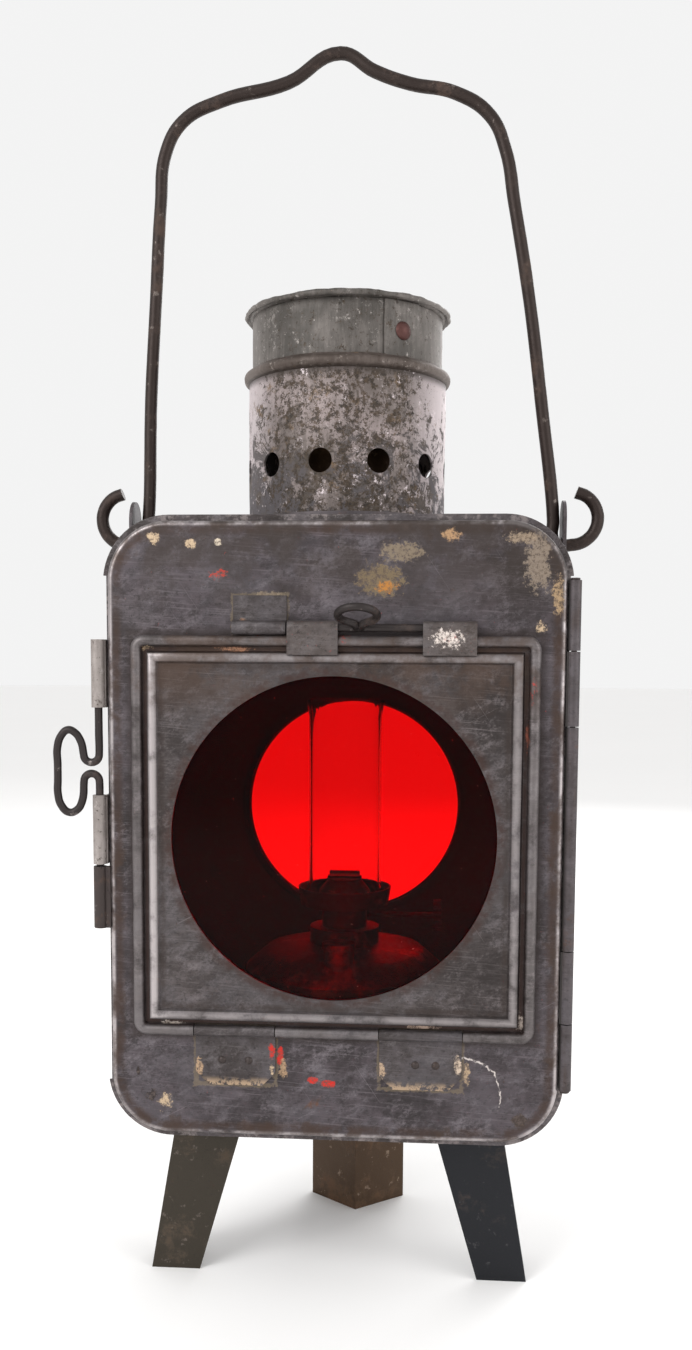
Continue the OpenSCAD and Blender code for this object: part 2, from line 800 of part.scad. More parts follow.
module lens_hinge_pin() {
    reach = roll_at - roll_bend;
    color(dark_iron) translate([0, roll_y, lens_axis_z]) rod_x([-reach, reach], pin_d / 2);
}

module lens_frame() {
    color(gunmetal) difference() {
        union() {
            difference() {
                translate([0, 0, lens_z]) {
                    plate(lens_back_y - flange_t, flange_t) square(2 * roll_at, center = true);
                    plate(ridge_y, lens_back_y - ridge_y) square(2 * ridge_out, center = true);
                }
                translate([0, 0, lens_z]) {
                    plate(ridge_y - cut, panel_y - ridge_y + cut)
                        square(2 * (ridge_out - ridge_w), center = true);
                    plate(glass_y, lens_back_y - glass_y + cut)
                        square(2 * pocket_half, center = true);
                    plate(ridge_y - cut, 10) circle(aperture_r);
                }
                // Room for the leaves' knuckles in the lower edge
                for (span = [leaf_left, leaf_right])
                    box([min(span) - gap, lens_back_y - 10, lens_axis_z - 2 * roll_r],
                        [max(span) + gap, lens_back_y + cut, lens_axis_z + roll_r + gap]);
            }
            frame_edge();
        }
        translate([0, roll_y, lens_axis_z])
            rod_x([roll_bend - roll_at, roll_at - roll_bend], pin_d / 2 + run);
    }
}

// The four sides of the rolled edge; the lower one is in three lengths, as the hinge barrel
module frame_edge() {
    straight = roll_at - roll_bend;
    lengths = [[-straight, min(leaf_left) - gap], [max(leaf_left) + gap, min(leaf_right) - gap],
        [max(leaf_right) + gap, straight]];
    translate([0, roll_y, lens_z]) {
        for (side = [-1, 1]) translate([side * roll_at, 0, -straight])
            cylinder(h = 2 * straight, r = roll_r);
        translate([0, 0, roll_at]) rod_x([-straight, straight], roll_r);
        for (span = lengths) translate([0, 0, -roll_at]) rod_x(span, roll_r);
        for (turn = [0, 90, 180, 270]) rotate([0, turn, 0]) translate([straight, 0, straight])
            rotate([90, 0, 0]) rotate_extrude(angle = 90) translate([roll_bend, 0]) circle(roll_r);
    }
}

module red_glass() {
    color([0.6, 0.02, 0.03, 0.7]) translate([0, glass_y, lens_z]) rotate([-90, 0, 0])
        cylinder(h = glass_t, r = glass_r);
}

// The plate behind the glass that holds it in the frame's pocket
module glass_retainer() {
    color(gunmetal) translate([0, 0, lens_z]) plate(retainer_y, retainer_t) difference() {
        square(2 * (pocket_half - 0.2), center = true);
        circle(glass_r - 3);
    }
}

module font_tray() {
    color(gunmetal) translate([0, 0, floor_z + sheet]) rotate_extrude() union() {
        square([font_r + 1.6, tray_t]);
        translate([font_r + 0.6, 0]) square([1, 12]);
    }
}

// The oil tank: hollow, with a neck for the burner and one for the filler
module oil_font() {
    inner_top = font_h - font_sheet;
    color(brass) translate([0, 0, font_z]) difference() {
        union() {
            rotate_extrude() polygon([[0, 0], [font_r, 0], [font_r, font_h - 12],
                [font_r - 10, font_h - 3], [collar_r, font_h], [0, font_h]]);
            translate([0, -font_r + 14, font_h - 8]) cylinder(h = 12, r = 7);
        }
        rotate_extrude() polygon([[0, font_sheet], [font_r - font_sheet, font_sheet],
            [font_r - font_sheet, font_h - 12.4], [font_r - 10.4, font_h - 3.8],
            [collar_r, inner_top], [0, inner_top]]);
        translate([0, 0, inner_top - cut]) cylinder(h = 3, r = 12);
        translate([0, -font_r + 14, font_h - 12]) cylinder(h = 20, r = 6);
    }
}

module filler_cap() {
    color(brass) translate([0, -font_r + 14, font_z + font_h + 4]) {
        cylinder(h = 3, r = 8);
        translate([0, 0, -4]) cylinder(h = 4, r = 5.8);
    }
}

// The slot that the wick and its tube pass through
module wick_slot(h, room) {
    translate([-wick_w / 2 - room, -wick_t / 2 - room, 0])
        cube([wick_w + 2 * room, wick_t + 2 * room, h]);
}

module burner_collar() {
    outer = tube_wall + tube_play;
    color(brass) difference() {
        translate([0, 0, font_top]) union() {
            cylinder(h = collar_h, r = collar_r);
            cylinder(h = collar_h + 12, r = 11);
        }
        translate([0, 0, font_top - cut]) wick_slot(40, outer);
        translate([-30, spindle_y, spindle_z]) rotate([0, 90, 0])
            cylinder(h = 60, r = spindle_r + run);
        translate([-4, spindle_y, spindle_z]) rotate([0, 90, 0])
            cylinder(h = 8, r = pinion_r + 0.4);
    }
}

// The cup that carries the lamp glass, pierced to let air in
module burner_gallery() {
    color(brass) difference() {
        translate([0, 0, gallery_z]) rotate_extrude() polygon([[11, 0], [gallery_r, 0],
            [gallery_r + 1.5, 9], [gallery_r + 0.7, 9], [gallery_r - 0.7, 1], [11, 1]]);
        for (i = [0 : 11]) rotate([0, 0, 30 * i]) translate([14.5, 0, gallery_z])
            cylinder(h = 8, r = 1.2, center = true);
    }
}

// The draught cone over the wick tube
module burner_cone() {
    cone_z = gallery_z + 1;
    color(brass) difference() {
        translate([0, 0, cone_z]) rotate_extrude() polygon([[12.2, 0], [13.2, 0], [12.6, 6],
            [8.5, 11], [8.5, 12], [0, 12], [0, 11.2], [8, 11.2], [11.8, 6]]);
        translate([0, 0, cone_z]) wick_slot(40, tube_wall + 2 * tube_play);
    }
}

module wick_tube() {
    tube_low = font_top - 6;
    color(brass) difference() {
        translate([0, 0, tube_low]) wick_slot(tube_top - tube_low, tube_wall + tube_play);
        translate([0, 0, tube_low - cut]) wick_slot(tube_top - tube_low + 2 * cut, tube_play);
        translate([-3.4, 0, spindle_z - 4]) cube([6.8, 4, 8]);
    }
}

module wick() {
    color([0.85, 0.8, 0.68]) translate([0, 0, wick_low]) wick_slot(wick_top - wick_low, 0);
}

// The wick winder: spindle, pinion and a knob with a milled edge
module wick_knob() {
    notches = 16;
    color(brass) translate([0, spindle_y, spindle_z]) rotate([0, 90, 0]) difference() {
        union() {
            translate([0, 0, -13]) cylinder(h = knob_x + 13, r = spindle_r);
            translate([0, 0, -3]) cylinder(h = 6, r = pinion_r);
            translate([0, 0, knob_x]) cylinder(h = 4, r = knob_r);
        }
        for (i = [0 : notches - 1]) rotate([0, 0, 360 * i / notches])
            translate([knob_r + 0.6, 0, knob_x - cut]) cylinder(h = 6, r = 1.2);
    }
}

module lamp_glass() {
    r = glass_d / 2;
    wall = 1.6;
    flare = 2;
    color([0.9, 0.95, 0.95, 0.4]) translate([0, 0, lamp_glass_z]) rotate_extrude() polygon([
        [r + flare, 0], [r + flare, 3], [r, 10], [r, glass_h - 8], [r + flare * 0.6, glass_h],
        [r + flare * 0.6 - wall, glass_h], [r - wall, glass_h - 8], [r - wall, 10],
        [r + flare - wall, 3], [r + flare - wall, 0]]);
}

casing_shell();
casing_front_flange();
back_plate();
back_window_ring();
back_glass();
chimney_base_ring();
chimney_cylinder();
chimney_bead();
chimney_band();
band_lap_strip();
band_rivet();
chimney_cap();
inner_cowl();
leg_front_left();
leg_front_right();
leg_back();
leg_rivets();
bail_ear_left();
bail_ear_right();
ear_rivets();
bail();
casing_hinge_knuckles();
door_hinge_pin();
bolt_guide_upper();
bolt_guide_lower();
side_rivets();
door_bolt();
door_plate();
door_hinge_knuckles();
door_bolt_keeper();
latch_keeper();
lens_hinge_leaf_left();
lens_hinge_leaf_right();
lens_leaf_rivets();
lens_hinge_pin();
lens_frame();
red_glass();
glass_retainer();
latch_guide_left();
latch_guide_right();
lens_latch_bolt();
font_tray();
oil_font();
filler_cap();
burner_collar();
burner_gallery();
burner_cone();
wick_tube();
wick();
wick_knob();
lamp_glass();
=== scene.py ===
"""An oil-burning railway signal lantern with a red lens, finished, on a pale floor.

Lengths are in metres unless a name or a comment says millimetres. +Z is up, +X is across, and
the red lens faces -Y.
"""
import json
import math

import bmesh
import bpy
from mathutils import Matrix, Vector


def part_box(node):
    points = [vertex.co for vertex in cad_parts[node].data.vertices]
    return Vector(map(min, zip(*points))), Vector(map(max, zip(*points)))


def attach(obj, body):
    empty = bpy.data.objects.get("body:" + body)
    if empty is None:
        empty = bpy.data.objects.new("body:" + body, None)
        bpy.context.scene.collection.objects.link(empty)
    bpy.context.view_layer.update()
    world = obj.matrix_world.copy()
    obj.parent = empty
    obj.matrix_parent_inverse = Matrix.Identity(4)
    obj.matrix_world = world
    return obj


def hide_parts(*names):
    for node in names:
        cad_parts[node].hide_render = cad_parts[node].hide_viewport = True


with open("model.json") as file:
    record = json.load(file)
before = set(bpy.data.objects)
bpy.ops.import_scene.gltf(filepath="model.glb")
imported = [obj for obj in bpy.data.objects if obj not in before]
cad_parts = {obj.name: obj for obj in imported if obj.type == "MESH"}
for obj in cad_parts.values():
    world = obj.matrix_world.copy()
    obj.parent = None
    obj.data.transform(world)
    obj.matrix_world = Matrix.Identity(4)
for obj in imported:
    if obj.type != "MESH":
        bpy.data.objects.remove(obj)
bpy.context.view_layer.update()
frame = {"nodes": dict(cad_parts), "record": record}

MM = 0.001
NODES = frame["nodes"]
BODY_OF = {node: body for body, members in frame["record"]["behaviour"]["bodies"].items()
           for node in members}

DOOR_LOW, DOOR_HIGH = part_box("door_plate")
LENS_LOW, LENS_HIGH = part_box("lens_frame")
LENS_Z = (LENS_LOW.z + LENS_HIGH.z) / 2
TOP_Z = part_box("casing_shell")[1].z
BEAD_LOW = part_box("chimney_bead")[0].z

DOOR_CORNER = 26.5 * MM      # radius of the door's rounded corners
LENS_EDGE = 86.5 * MM        # from the lens's middle to its frame's edge, measured square
APERTURE_R = 71.5 * MM       # radius of the round opening in front of the glass
CHIMNEY_SHEET = 1 * MM
CHIMNEY_SIDES = 176          # faces round the chimney's sheets, bead and cap
BOLT_WIRE_R = 1.75 * MM
GLASS_INDEX = 1.14           # low, so that a pale room doesn't veil the dark glass


def at(x, z):
    """A place on the door's front, from millimetres across and above the ground."""
    return (x * MM, DOOR_LOW.y, z * MM)


# ---------------------------------------------------------------- finishes

def tone(red, green, blue):
    """A display colour, 0 to 255 for each part, as the linear colour that a shader takes."""
    linear = [(c / 255 / 12.92) if c <= 10 else ((c / 255 + 0.055) / 1.055) ** 2.4
              for c in (red, green, blue)]
    return (*linear, 1)


class Wire:
    """What comes out of a shader node. Python's operators on it add Math nodes."""

    def __init__(self, finish, socket):
        self.finish = finish
        self.socket = socket

    def math(self, operation, *values):
        return self.finish.node("ShaderNodeMath", {"operation": operation}, *values)

    def __add__(self, other):
        return self.math("ADD", self, other)

    def __sub__(self, other):
        return self.math("SUBTRACT", self, other)

    def __rsub__(self, other):
        return self.math("SUBTRACT", other, self)

    def __mul__(self, other):
        return self.math("MULTIPLY", self, other)

    def __abs__(self):
        return self.math("ABSOLUTE", self)

    __radd__ = __add__
    __rmul__ = __mul__

    def most(self, other):
        return self.math("MAXIMUM", self, other)

    def least(self, other):
        return self.math("MINIMUM", self, other)

    def root(self):
        return self.math("SQRT", self)


class Finish:
    """A procedural material: patterns on the piece's own coordinates, and one shader."""

    def __init__(self, name, **constants):
        self.material = bpy.data.materials.new(name)
        self.material.use_nodes = True
        self.tree = self.material.node_tree
        self.shader = self.tree.nodes["Principled BSDF"]
        for socket, value in constants.items():
            self.shader.inputs[socket.replace("_", " ")].default_value = value
        self.place = self.node("ShaderNodeTexCoord", output="Object")

    def node(self, kind, settings=None, *values, output=0, **named):
        """A new node with its settings, and with wires or values in its input sockets."""
        made = self.tree.nodes.new(kind)
        for key, value in (settings or {}).items():
            setattr(made, key, value)
        for slot, value in [*enumerate(values), *named.items()]:
            if isinstance(value, Wire):
                self.tree.links.new(value.socket, made.inputs[slot])
            elif value is not None:
                made.inputs[slot].default_value = value
        return Wire(self, made.outputs[output])

    def feed(self, **wires):
        """Runs wires into the shader's sockets."""
        for socket, wire in wires.items():
            self.tree.links.new(wire.socket, self.shader.inputs[socket.replace("_", " ")])

    def across(self, axis):
        """One coordinate of the place that is shaded, in metres: axis 0 is X and 2 is Z."""
        return self.node("ShaderNodeSeparateXYZ", None, self.place, output=axis)

    def noise(self, size, detail=5, rough=0.6, stretch=(1, 1, 1), turn=0, seed=0, warp=0):
        """Cloudy noise from 0 to 1, whose lumps are about size millimetres wide.

        stretch draws the lumps out along X, Y and Z, turn tilts them by degrees about Y, and
        each seed is another part of the same cloud.
        """
        grow = [1 / (s * size * MM) for s in stretch]
        where = self.place
        if turn:
            where = self.node("ShaderNodeMapping", None, where, None, (0, math.radians(turn), 0))
        where = self.node("ShaderNodeMapping", None, where, (seed * 7.3, seed * 3.1, seed * 5.7),
                          None, grow)
        return self.node("ShaderNodeTexNoise", None, where, Scale=1.0, Detail=detail,
                         Roughness=rough, Distortion=warp)

    def rise(self, value, low, high):
        """0 below low and 1 above high, with a soft edge between."""
        return self.node("ShaderNodeMapRange", {"interpolation_type": "SMOOTHSTEP"}, value,
                         low, high, 0.0, 1.0)

    def clouds(self, low, high, *size, **how):
        """Noise that is 0 below low and 1 above high."""
        return self.rise(self.noise(*size, **how), low, high)

    def near(self, point, reach, stretch=(1, 1, 1)):
        """1 at a place on the door or elsewhere, and 0 from reach millimetres away."""
        apart = self.node("ShaderNodeVectorMath", {"operation": "SUBTRACT"}, self.place, point)
        apart = self.node("ShaderNodeVectorMath", {"operation": "DIVIDE"}, apart, stretch)
        length = self.node("ShaderNodeVectorMath", {"operation": "LENGTH"}, apart, output=1)
        return 1 - self.rise(length, 0.0, reach * MM)

    def band(self, value, middle, half):
        """1 where a value in millimetres is near the middle, and 0 from half away."""
        return 1 - self.rise(abs(value - middle * MM), 0.0, half * MM)

    def mix(self, factor, under, over):
        """The colour under, covered by the colour over as far as factor says."""
        return self.node("ShaderNodeMix", {"data_type": "RGBA"}, factor, None, None, None, None,
                         None, under, over, output=2)

    def bump(self, height, depth, strength=1.0, under=None):
        """Normals of a surface whose height, from 0 to 1, is depth millimetres."""
        return self.node("ShaderNodeBump", None, Strength=strength, Distance=depth * MM,
                         Height=height, Normal=under)

    def square_reach(self):
        """How far a place is from the lens's middle, measured square, in metres."""
        return abs(self.across(0)).most(abs(self.across(2) - LENS_Z))

    def door_reach(self):
        """Distance past the door's rounded outline, in metres: negative inside it."""
        out = [abs(self.across(axis) - middle) - (half - DOOR_CORNER)
               for axis, middle, half in (
                   (0, 0.0, DOOR_HIGH.x),
                   (2, (DOOR_LOW.z + DOOR_HIGH.z) / 2, (DOOR_HIGH.z - DOOR_LOW.z) / 2))]
        clear = [o.most(0.0) for o in out]
        round_part = (clear[0] * clear[0] + clear[1] * clear[1]).root()
        return round_part + out[0].most(out[1]).least(0.0) - DOOR_CORNER

    def beside(self, node, reach):
        """1 round the outline of a piece on the door, and 0 from reach millimetres away."""
        low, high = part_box(node)
        middle, half = (low + high) / 2, (high - low) / 2
        past = (abs(self.across(0) - middle.x) - half.x).most(
            abs(self.across(2) - middle.z) - half.z)
        return 1 - self.rise(abs(past), 0.0, reach * MM)


CREAM = (196, 172, 142)
SIGNAL_RED = (200, 36, 24)
BARE_STEEL = tone(190, 182, 182)
RUST = tone(92, 58, 40)
DARK_RUST = tone(58, 42, 34)


def paint_layers(finish, base, dark, light, edge=None, rust_share=0.5, seed=0):
    """Worn dark paint: its mottling, rust, dirt, scratches and chips.

    edge is 1 where the sheet is bent outwards and rubbed bright; that brightness is partly real
    wear and partly a painted highlight along the bends. Gives the colour, how rough it is, how
    metallic it is and its height.
    """
    broad = finish.noise(46, 4, 0.6, seed=seed)
    fine = finish.noise(5, 6, 0.7, seed=seed + 1)
    grain = finish.noise(1.1, 3, 0.7, seed=seed + 2)
    wiped = finish.noise(8, 8, 0.75, (1.5, 1, 0.8), turn=24, seed=seed + 3)
    brushed = finish.noise(3, 4, 0.7, (9, 1, 0.25), turn=-4, seed=seed + 10)
    colour = finish.mix(finish.rise(broad + fine * 0.6, 0.6, 0.96), dark, base)
    colour = finish.mix(finish.rise(wiped + grain * 0.3, 0.62, 0.9) * 0.6, colour, light)
    colour = finish.mix(finish.rise(brushed, 0.52, 0.72) * 0.3, colour, light)
    cloud = finish.clouds(0.52, 0.68, 60, 7, 0.75, (1, 1, 0.6), seed=seed + 11)
    colour = finish.mix(cloud * 0.3, colour, light)
    grime = finish.clouds(0.46, 0.62, 24, 9, 0.78, (1.3, 1, 0.9), seed=seed + 12)
    colour = finish.mix(grime * 0.5, colour, dark)
    pores = finish.clouds(0.54, 0.66, 1.6, 5, 0.75, (1.4, 1, 0.8), seed=seed + 13)
    colour = finish.mix(pores * 0.65, colour, tone(36, 32, 31))
    colour = finish.mix(finish.rise(broad * 0.6 + wiped * 0.5, 0.5, 0.66) * 0.4, colour,
                        tone(70, 68, 72))
    rust = finish.rise(finish.noise(17, 8, 0.72, seed=seed + 4, warp=0.4) + broad * 0.25,
                       0.86 - rust_share * 0.16, 0.98 - rust_share * 0.16)
    rust_colour = finish.mix(finish.rise(fine, 0.35, 0.65), DARK_RUST, RUST)
    colour = finish.mix(rust * 0.85, colour, rust_colour)
    specks = finish.clouds(0.66, 0.7, 2.6, 5, 0.75, seed=seed + 5)
    colour = finish.mix(specks * 0.8, colour, DARK_RUST)
    scratch = finish.clouds(0.73, 0.78, 2.2, 2, 0.5, (0.16, 1, 26), turn=34, seed=seed + 6)
    scratch = scratch.most(
        finish.clouds(0.745, 0.79, 2.0, 2, 0.5, (0.2, 1, 30), turn=-62, seed=seed + 7))
    colour = finish.mix(scratch * 0.4, colour, light)
    bare = finish.rise(finish.noise(3.4, 6, 0.8, seed=seed + 8) + fine * 0.15, 0.8, 0.83)
    if edge is not None:
        worn = edge * finish.rise(finish.noise(13, 5, 0.6, seed=seed + 9) + grain * 0.12,
                                  0.34, 0.6)
        bare = bare.most(worn)
    colour = finish.mix(bare * 0.8, colour, BARE_STEEL)
    roughness = 0.40 + fine * 0.16 + rust * 0.28 - bare * 0.12
    metallic = 0.55 - rust * 0.45 + bare * 0.3
    height = fine * 0.35 + grain * 0.12 + rust * 0.35 - specks * 0.3 - scratch * 0.2 - bare * 0.2
    return colour, roughness, metallic, height


def patches(finish, colour, height, lump, seed, rows):
    """Patches of old paint on the door's front, broken up at their edges by lumps of noise.

    Each row holds a place across and above the ground, and a reach, all in millimetres, then
    the paint's display colour, how whole it is, and how it stretches along X, Y and Z.
    """
    for x, z, reach, paint, share, stretch in rows:
        broken = finish.noise(lump, 8, 0.8, seed=reach + seed + 20)
        patch = finish.rise(finish.near(at(x, z), reach, stretch) * 0.6 + broken * 1.25,
                            1.22 - share * 0.4, 1.34 - share * 0.4)
        thin = finish.clouds(0.3, 0.55, 1.5, 5, 0.75, seed=reach + seed + 21)
        dirty = finish.mix(thin, tone(92, 74, 58), tone(*paint))
        colour = finish.mix(patch * (0.35 + thin * 0.65) * 0.9, colour, dirty)
        height = height + patch * thin * 0.4
    return colour, height


def close_paint(finish, colour, roughness, metallic, height, depth=0.12):
    """Runs paint_layers' result into the shader, over the sheet's own broad waves."""
    broad = finish.bump(finish.noise(26, 2, 0.4, seed=31), 0.5, 0.35)
    finish.feed(Base_Color=colour, Roughness=roughness, Metallic=metallic,
                Normal=finish.bump(height, depth, 0.9, broad))
    return finish.material


def door_finish():
    """The door's paint: rusty near its rim and above, with remnants of pale and red paint."""
    finish = Finish("door_paint")
    reach = finish.door_reach()
    # A band along the door's folded outline, rubbed bright: partly real wear and partly a painted
    # highlight along the fold.
    edge = (finish.band(reach, -0.9, 1.9) * 1.4).least(1.0)
    rim = finish.rise(reach, -16 * MM, 0.0)
    colour, roughness, metallic, height = paint_layers(
        finish, tone(80, 72, 76), tone(44, 39, 40), tone(144, 135, 140), edge, 0.56)
    brown = finish.rise(finish.noise(14, 7, 0.7, seed=12) + rim * 0.32, 0.72, 0.9)
    colour = finish.mix(brown * 0.7, colour, tone(66, 50, 40))
    seam = finish.band(reach, -4.2, 3.2) * finish.clouds(0.34, 0.55, 10, 6, 0.7, seed=17)
    colour = finish.mix(seam * 0.7, colour, tone(58, 42, 34))
    above = finish.rise(finish.across(2), 0.300, 0.345)
    right = finish.rise(finish.across(0), 0.0, 0.07)
    dirt = above * finish.rise(finish.noise(22, 6, 0.7, seed=13) + right * 0.1, 0.4, 0.6)
    colour = finish.mix(dirt * 0.7, colour, tone(54, 45, 40))
    for node, reach_out, share in (("lens_hinge_leaf_left", 3.0, 0.42),
                                   ("lens_hinge_leaf_right", 3.0, 0.42),
                                   ("latch_keeper", 3.6, 0.44)):
        halo = finish.rise(finish.beside(node, reach_out) * 0.5
                           + finish.noise(3.2, 6, 0.75, seed=14), share + 0.4, share + 0.5)
        colour = finish.mix(halo * 0.5, colour, tone(120, 106, 86))
    # A painted shadow: a dark band on the door just outside the lens frame's rolled edge, where
    # the frame shades the door.
    under = finish.rise(finish.square_reach(), 87 * MM, 89 * MM)
    frame_painted_shadow = (1 - finish.rise(finish.square_reach(), 89 * MM, 94 * MM)) * under
    colour = finish.mix(frame_painted_shadow * 0.65, colour, tone(44, 34, 30))
    colour, height = patches(finish, colour, height, 3.2, 0, (
        (87, 336, 25, (136, 122, 108), 0.66, (0.5, 1, 1.2)),
        (96, 322, 18, (166, 140, 108), 0.45, (0.4, 1, 1.3)),
        (80, 347, 14, (150, 132, 112), 0.45, (1.4, 1, 0.5)),
        (50, 348, 9, (176, 140, 104), 0.5, (1.2, 1, 0.8)),
        (29, 341, 17, (128, 114, 96), 0.66, (1.2, 1, 0.6)),
        (20, 329, 20, (116, 100, 76), 0.7, (1.1, 1, 0.8)),
        (22, 326, 9, (178, 118, 52), 0.4, (1.6, 1, 0.9)),
        (-28, 322, 11, (132, 118, 100), 0.5, (1.6, 1, 0.5)),
        (-50, 331, 9, (176, 52, 40), 0.3, (1.5, 1, 0.8)),
        (-79, 347, 6, CREAM, 0.6, (1.2, 1, 1)),
        (-63, 344.5, 5.5, CREAM, 0.6, (1.2, 1, 0.9)),
        (-51, 345, 4, (204, 190, 170), 0.55, (1, 1, 1)),
        (89, 309, 6.5, CREAM, 0.6, (0.8, 1, 1)),
        (-76, 95, 11, CREAM, 0.34, (1, 1, 1)),
        (-82, 98, 9, (34, 28, 26), 0.4, (1, 1, 1)),
        (-88, 109, 5, (40, 32, 30), 0.7, (0.4, 1, 1.4)),
        (-9, 107, 6, SIGNAL_RED, 1.0, (0.8, 1, 0.42)),
        (-1.5, 105.5, 6, SIGNAL_RED, 1.0, (0.95, 1, 0.48)),
        (-23.5, 118, 10, SIGNAL_RED, 0.75, (0.3, 1, 1)),
        (-22, 112, 9, (170, 140, 110), 0.6, (0.5, 1, 1.2)),
        (60, 112, 13, (176, 152, 124), 0.55, (0.3, 1, 1)),
        (84, 91, 8, (58, 48, 42), 0.8, (1, 1, 0.8))))
    # The pale hooked scratch beside the right hinge leaf
    hook = finish.node("ShaderNodeVectorMath", {"operation": "DISTANCE"}, finish.place,
                       at(58, 102), output=1)
    wander = finish.noise(7, 3, 0.6, seed=15) * (5 * MM)
    hook = finish.band(hook + wander, 19.5, 0.55) * finish.rise(
        finish.across(0) + finish.across(2), 0.1685, 0.172)
    hook = hook * finish.clouds(0.38, 0.5, 3, 3, 0.7, seed=16)
    colour = finish.mix(hook * 0.8, colour, tone(222, 212, 206))
    return close_paint(finish, colour, roughness, metallic, height)


def lens_finish():
    """The lens frame's paint, worn bright along its ridge and rusty in its groove. The ridge's
    left side carries a painted highlight as well.
    """
    finish = Finish("lens_frame_paint")
    reach = finish.square_reach()
    ridge = finish.band(reach, 79.3, 2.7)
    rim = finish.rise(reach, 84 * MM, 85.5 * MM)
    # A painted highlight: the ridge's rubbed bright band is made stronger towards the frame's
    # left side, where the light falls.
    painted_highlight_left = 1 - finish.rise(finish.across(0), -78 * MM, -70 * MM)
    edge = (ridge * (0.5 + painted_highlight_left * 0.7)).least(1.0).most(rim * 0.2)
    colour, roughness, metallic, height = paint_layers(
        finish, tone(74, 67, 66), tone(44, 38, 37), tone(136, 127, 128), edge, 0.66, 3)
    groove = finish.band(reach, 83.0, 1.9)
    colour = finish.mix(groove * finish.clouds(0.25, 0.5, 9, 5, 0.7, seed=41) * 0.85,
                        colour, tone(52, 32, 26))
    inner = finish.band(reach, 75.6, 2.6)
    colour = finish.mix(inner * finish.clouds(0.3, 0.6, 7, 5, 0.7, seed=42) * 0.7,
                        colour, tone(50, 40, 36))
    lip = finish.node("ShaderNodeVectorMath", {"operation": "MULTIPLY"}, finish.place,
                      (1, 0, 1))
    lip = finish.node("ShaderNodeVectorMath", {"operation": "DISTANCE"}, lip, (0, 0, LENS_Z),
                      output=1)
    lip_dirt = finish.band(lip, 73, 4) * finish.clouds(0.35, 0.6, 6, 5, 0.7, seed=43)
    colour = finish.mix(lip_dirt * 0.75, colour, tone(58, 38, 32))
    upper = finish.rise(finish.across(2), 0.262, 0.292)
    upper = upper * finish.clouds(0.4, 0.6, 18, 7, 0.7, seed=44)
    colour = finish.mix(upper * 0.6, colour, tone(74, 56, 45))
    colour, height = patches(finish, colour, height, 2.6, 50, (
        (4, 303, 9, SIGNAL_RED, 0.75, (1.3, 1, 0.6)),
        (15, 302, 7, (190, 150, 130), 0.55, (1.6, 1, 0.6)),
        (86, 282, 16, SIGNAL_RED, 0.42, (0.3, 1, 1)),
        (84, 262, 12, (150, 84, 66), 0.45, (0.3, 1, 1.6)),
        (13, 138, 6, SIGNAL_RED, 0.5, (1, 1, 0.9)),
        (33, 140.5, 5, CREAM, 0.7, (1.4, 1, 0.6)),
        (-66, 142, 5, (160, 110, 80), 0.7, (1, 1, 0.8)),
        (-84, 300, 9, CREAM, 0.55, (1.4, 1, 0.5)),
        (-44, 299, 9, (176, 128, 100), 0.5, (2.6, 1, 0.4)),
        (-72, 132, 8, (200, 188, 178), 0.55, (1.8, 1, 0.4)),
        (40, 133, 9, (180, 156, 140), 0.5, (2.6, 1, 0.4)),
        (83, 136, 8, (190, 176, 166), 0.5, (0.6, 1, 1.8))))
    return close_paint(finish, colour, roughness, metallic, height)


def leaf_finish():
    """The hinge leaves and keeper: like the door, with pale paint left along their edges."""
    finish = Finish("leaf_paint")
    colour, roughness, metallic, height = paint_layers(
        finish, tone(82, 76, 78), tone(54, 48, 47), tone(128, 121, 122), None, 0.55, 5)
    low = 1 - finish.rise(finish.across(2), 0.1045, 0.1085)
    pale = low * finish.clouds(0.42, 0.54, 3.4, 6, 0.75, seed=61)
    colour = finish.mix(pale * 0.8, colour, tone(178, 152, 124))
    narrow = (0.5, 1, 1.2)
    colour, height = patches(finish, colour, height, 2.4, 70, (
        (-27, 120, 8, SIGNAL_RED, 0.6, narrow), (-27, 112, 5, CREAM, 0.6, narrow),
        (-60, 112, 9, (180, 150, 120), 0.6, narrow), (22, 112, 8, (186, 160, 134), 0.6, narrow),
        (56, 116, 9, (200, 180, 160), 0.6, narrow), (-40, 309, 8, (150, 112, 86), 0.6, narrow)))
    return close_paint(finish, colour, roughness, metallic, height)


def guide_finish():
    """The lens latch's guides, with white and red paint left on the right one."""
    finish = Finish("latch_guide_paint")
    colour, roughness, metallic, height = paint_layers(
        finish, tone(94, 86, 84), tone(66, 58, 55), tone(128, 120, 118), None, 0.6, 8)
    flat = (1, 1, 0.6)
    colour, height = patches(finish, colour, height, 2.4, 90, (
        (49, 304, 17, (226, 214, 206), 0.85, flat), (51, 304, 9, SIGNAL_RED, 1.15, flat),
        (5, 301, 9, SIGNAL_RED, 0.5, flat), (-8, 300, 12, (120, 78, 60), 0.6, flat)))
    return close_paint(finish, colour, roughness, metallic, height)


def body_finish():
    """The casing's sides and back: the door's paint, older and dirtier."""
    finish = Finish("casing_paint")
    colour, roughness, metallic, height = paint_layers(
        finish, tone(84, 77, 79), tone(60, 54, 54), tone(112, 104, 106), None, 0.75, 11)
    runs = finish.clouds(0.5, 0.72, 12, 5, 0.65, (0.7, 0.7, 4), seed=23)
    colour = finish.mix(runs * 0.55, colour, tone(62, 45, 35))
    # Soot on everything that faces the flame, inside the casing's sheet
    sooty = (1 - finish.rise(finish.door_reach(), 0.9 * MM, 1.1 * MM)) * (
        1 - finish.rise(finish.across(1), 65.3 * MM, 65.6 * MM))
    soot = finish.mix(finish.noise(20, 5, 0.6, seed=29), tone(20, 18, 17), tone(40, 33, 29))
    colour = finish.mix(sooty * 0.95, colour, soot)
    metallic = metallic * (1 - sooty)
    roughness = roughness + sooty * 0.3
    return close_paint(finish, colour, roughness, metallic, height, 0.16)


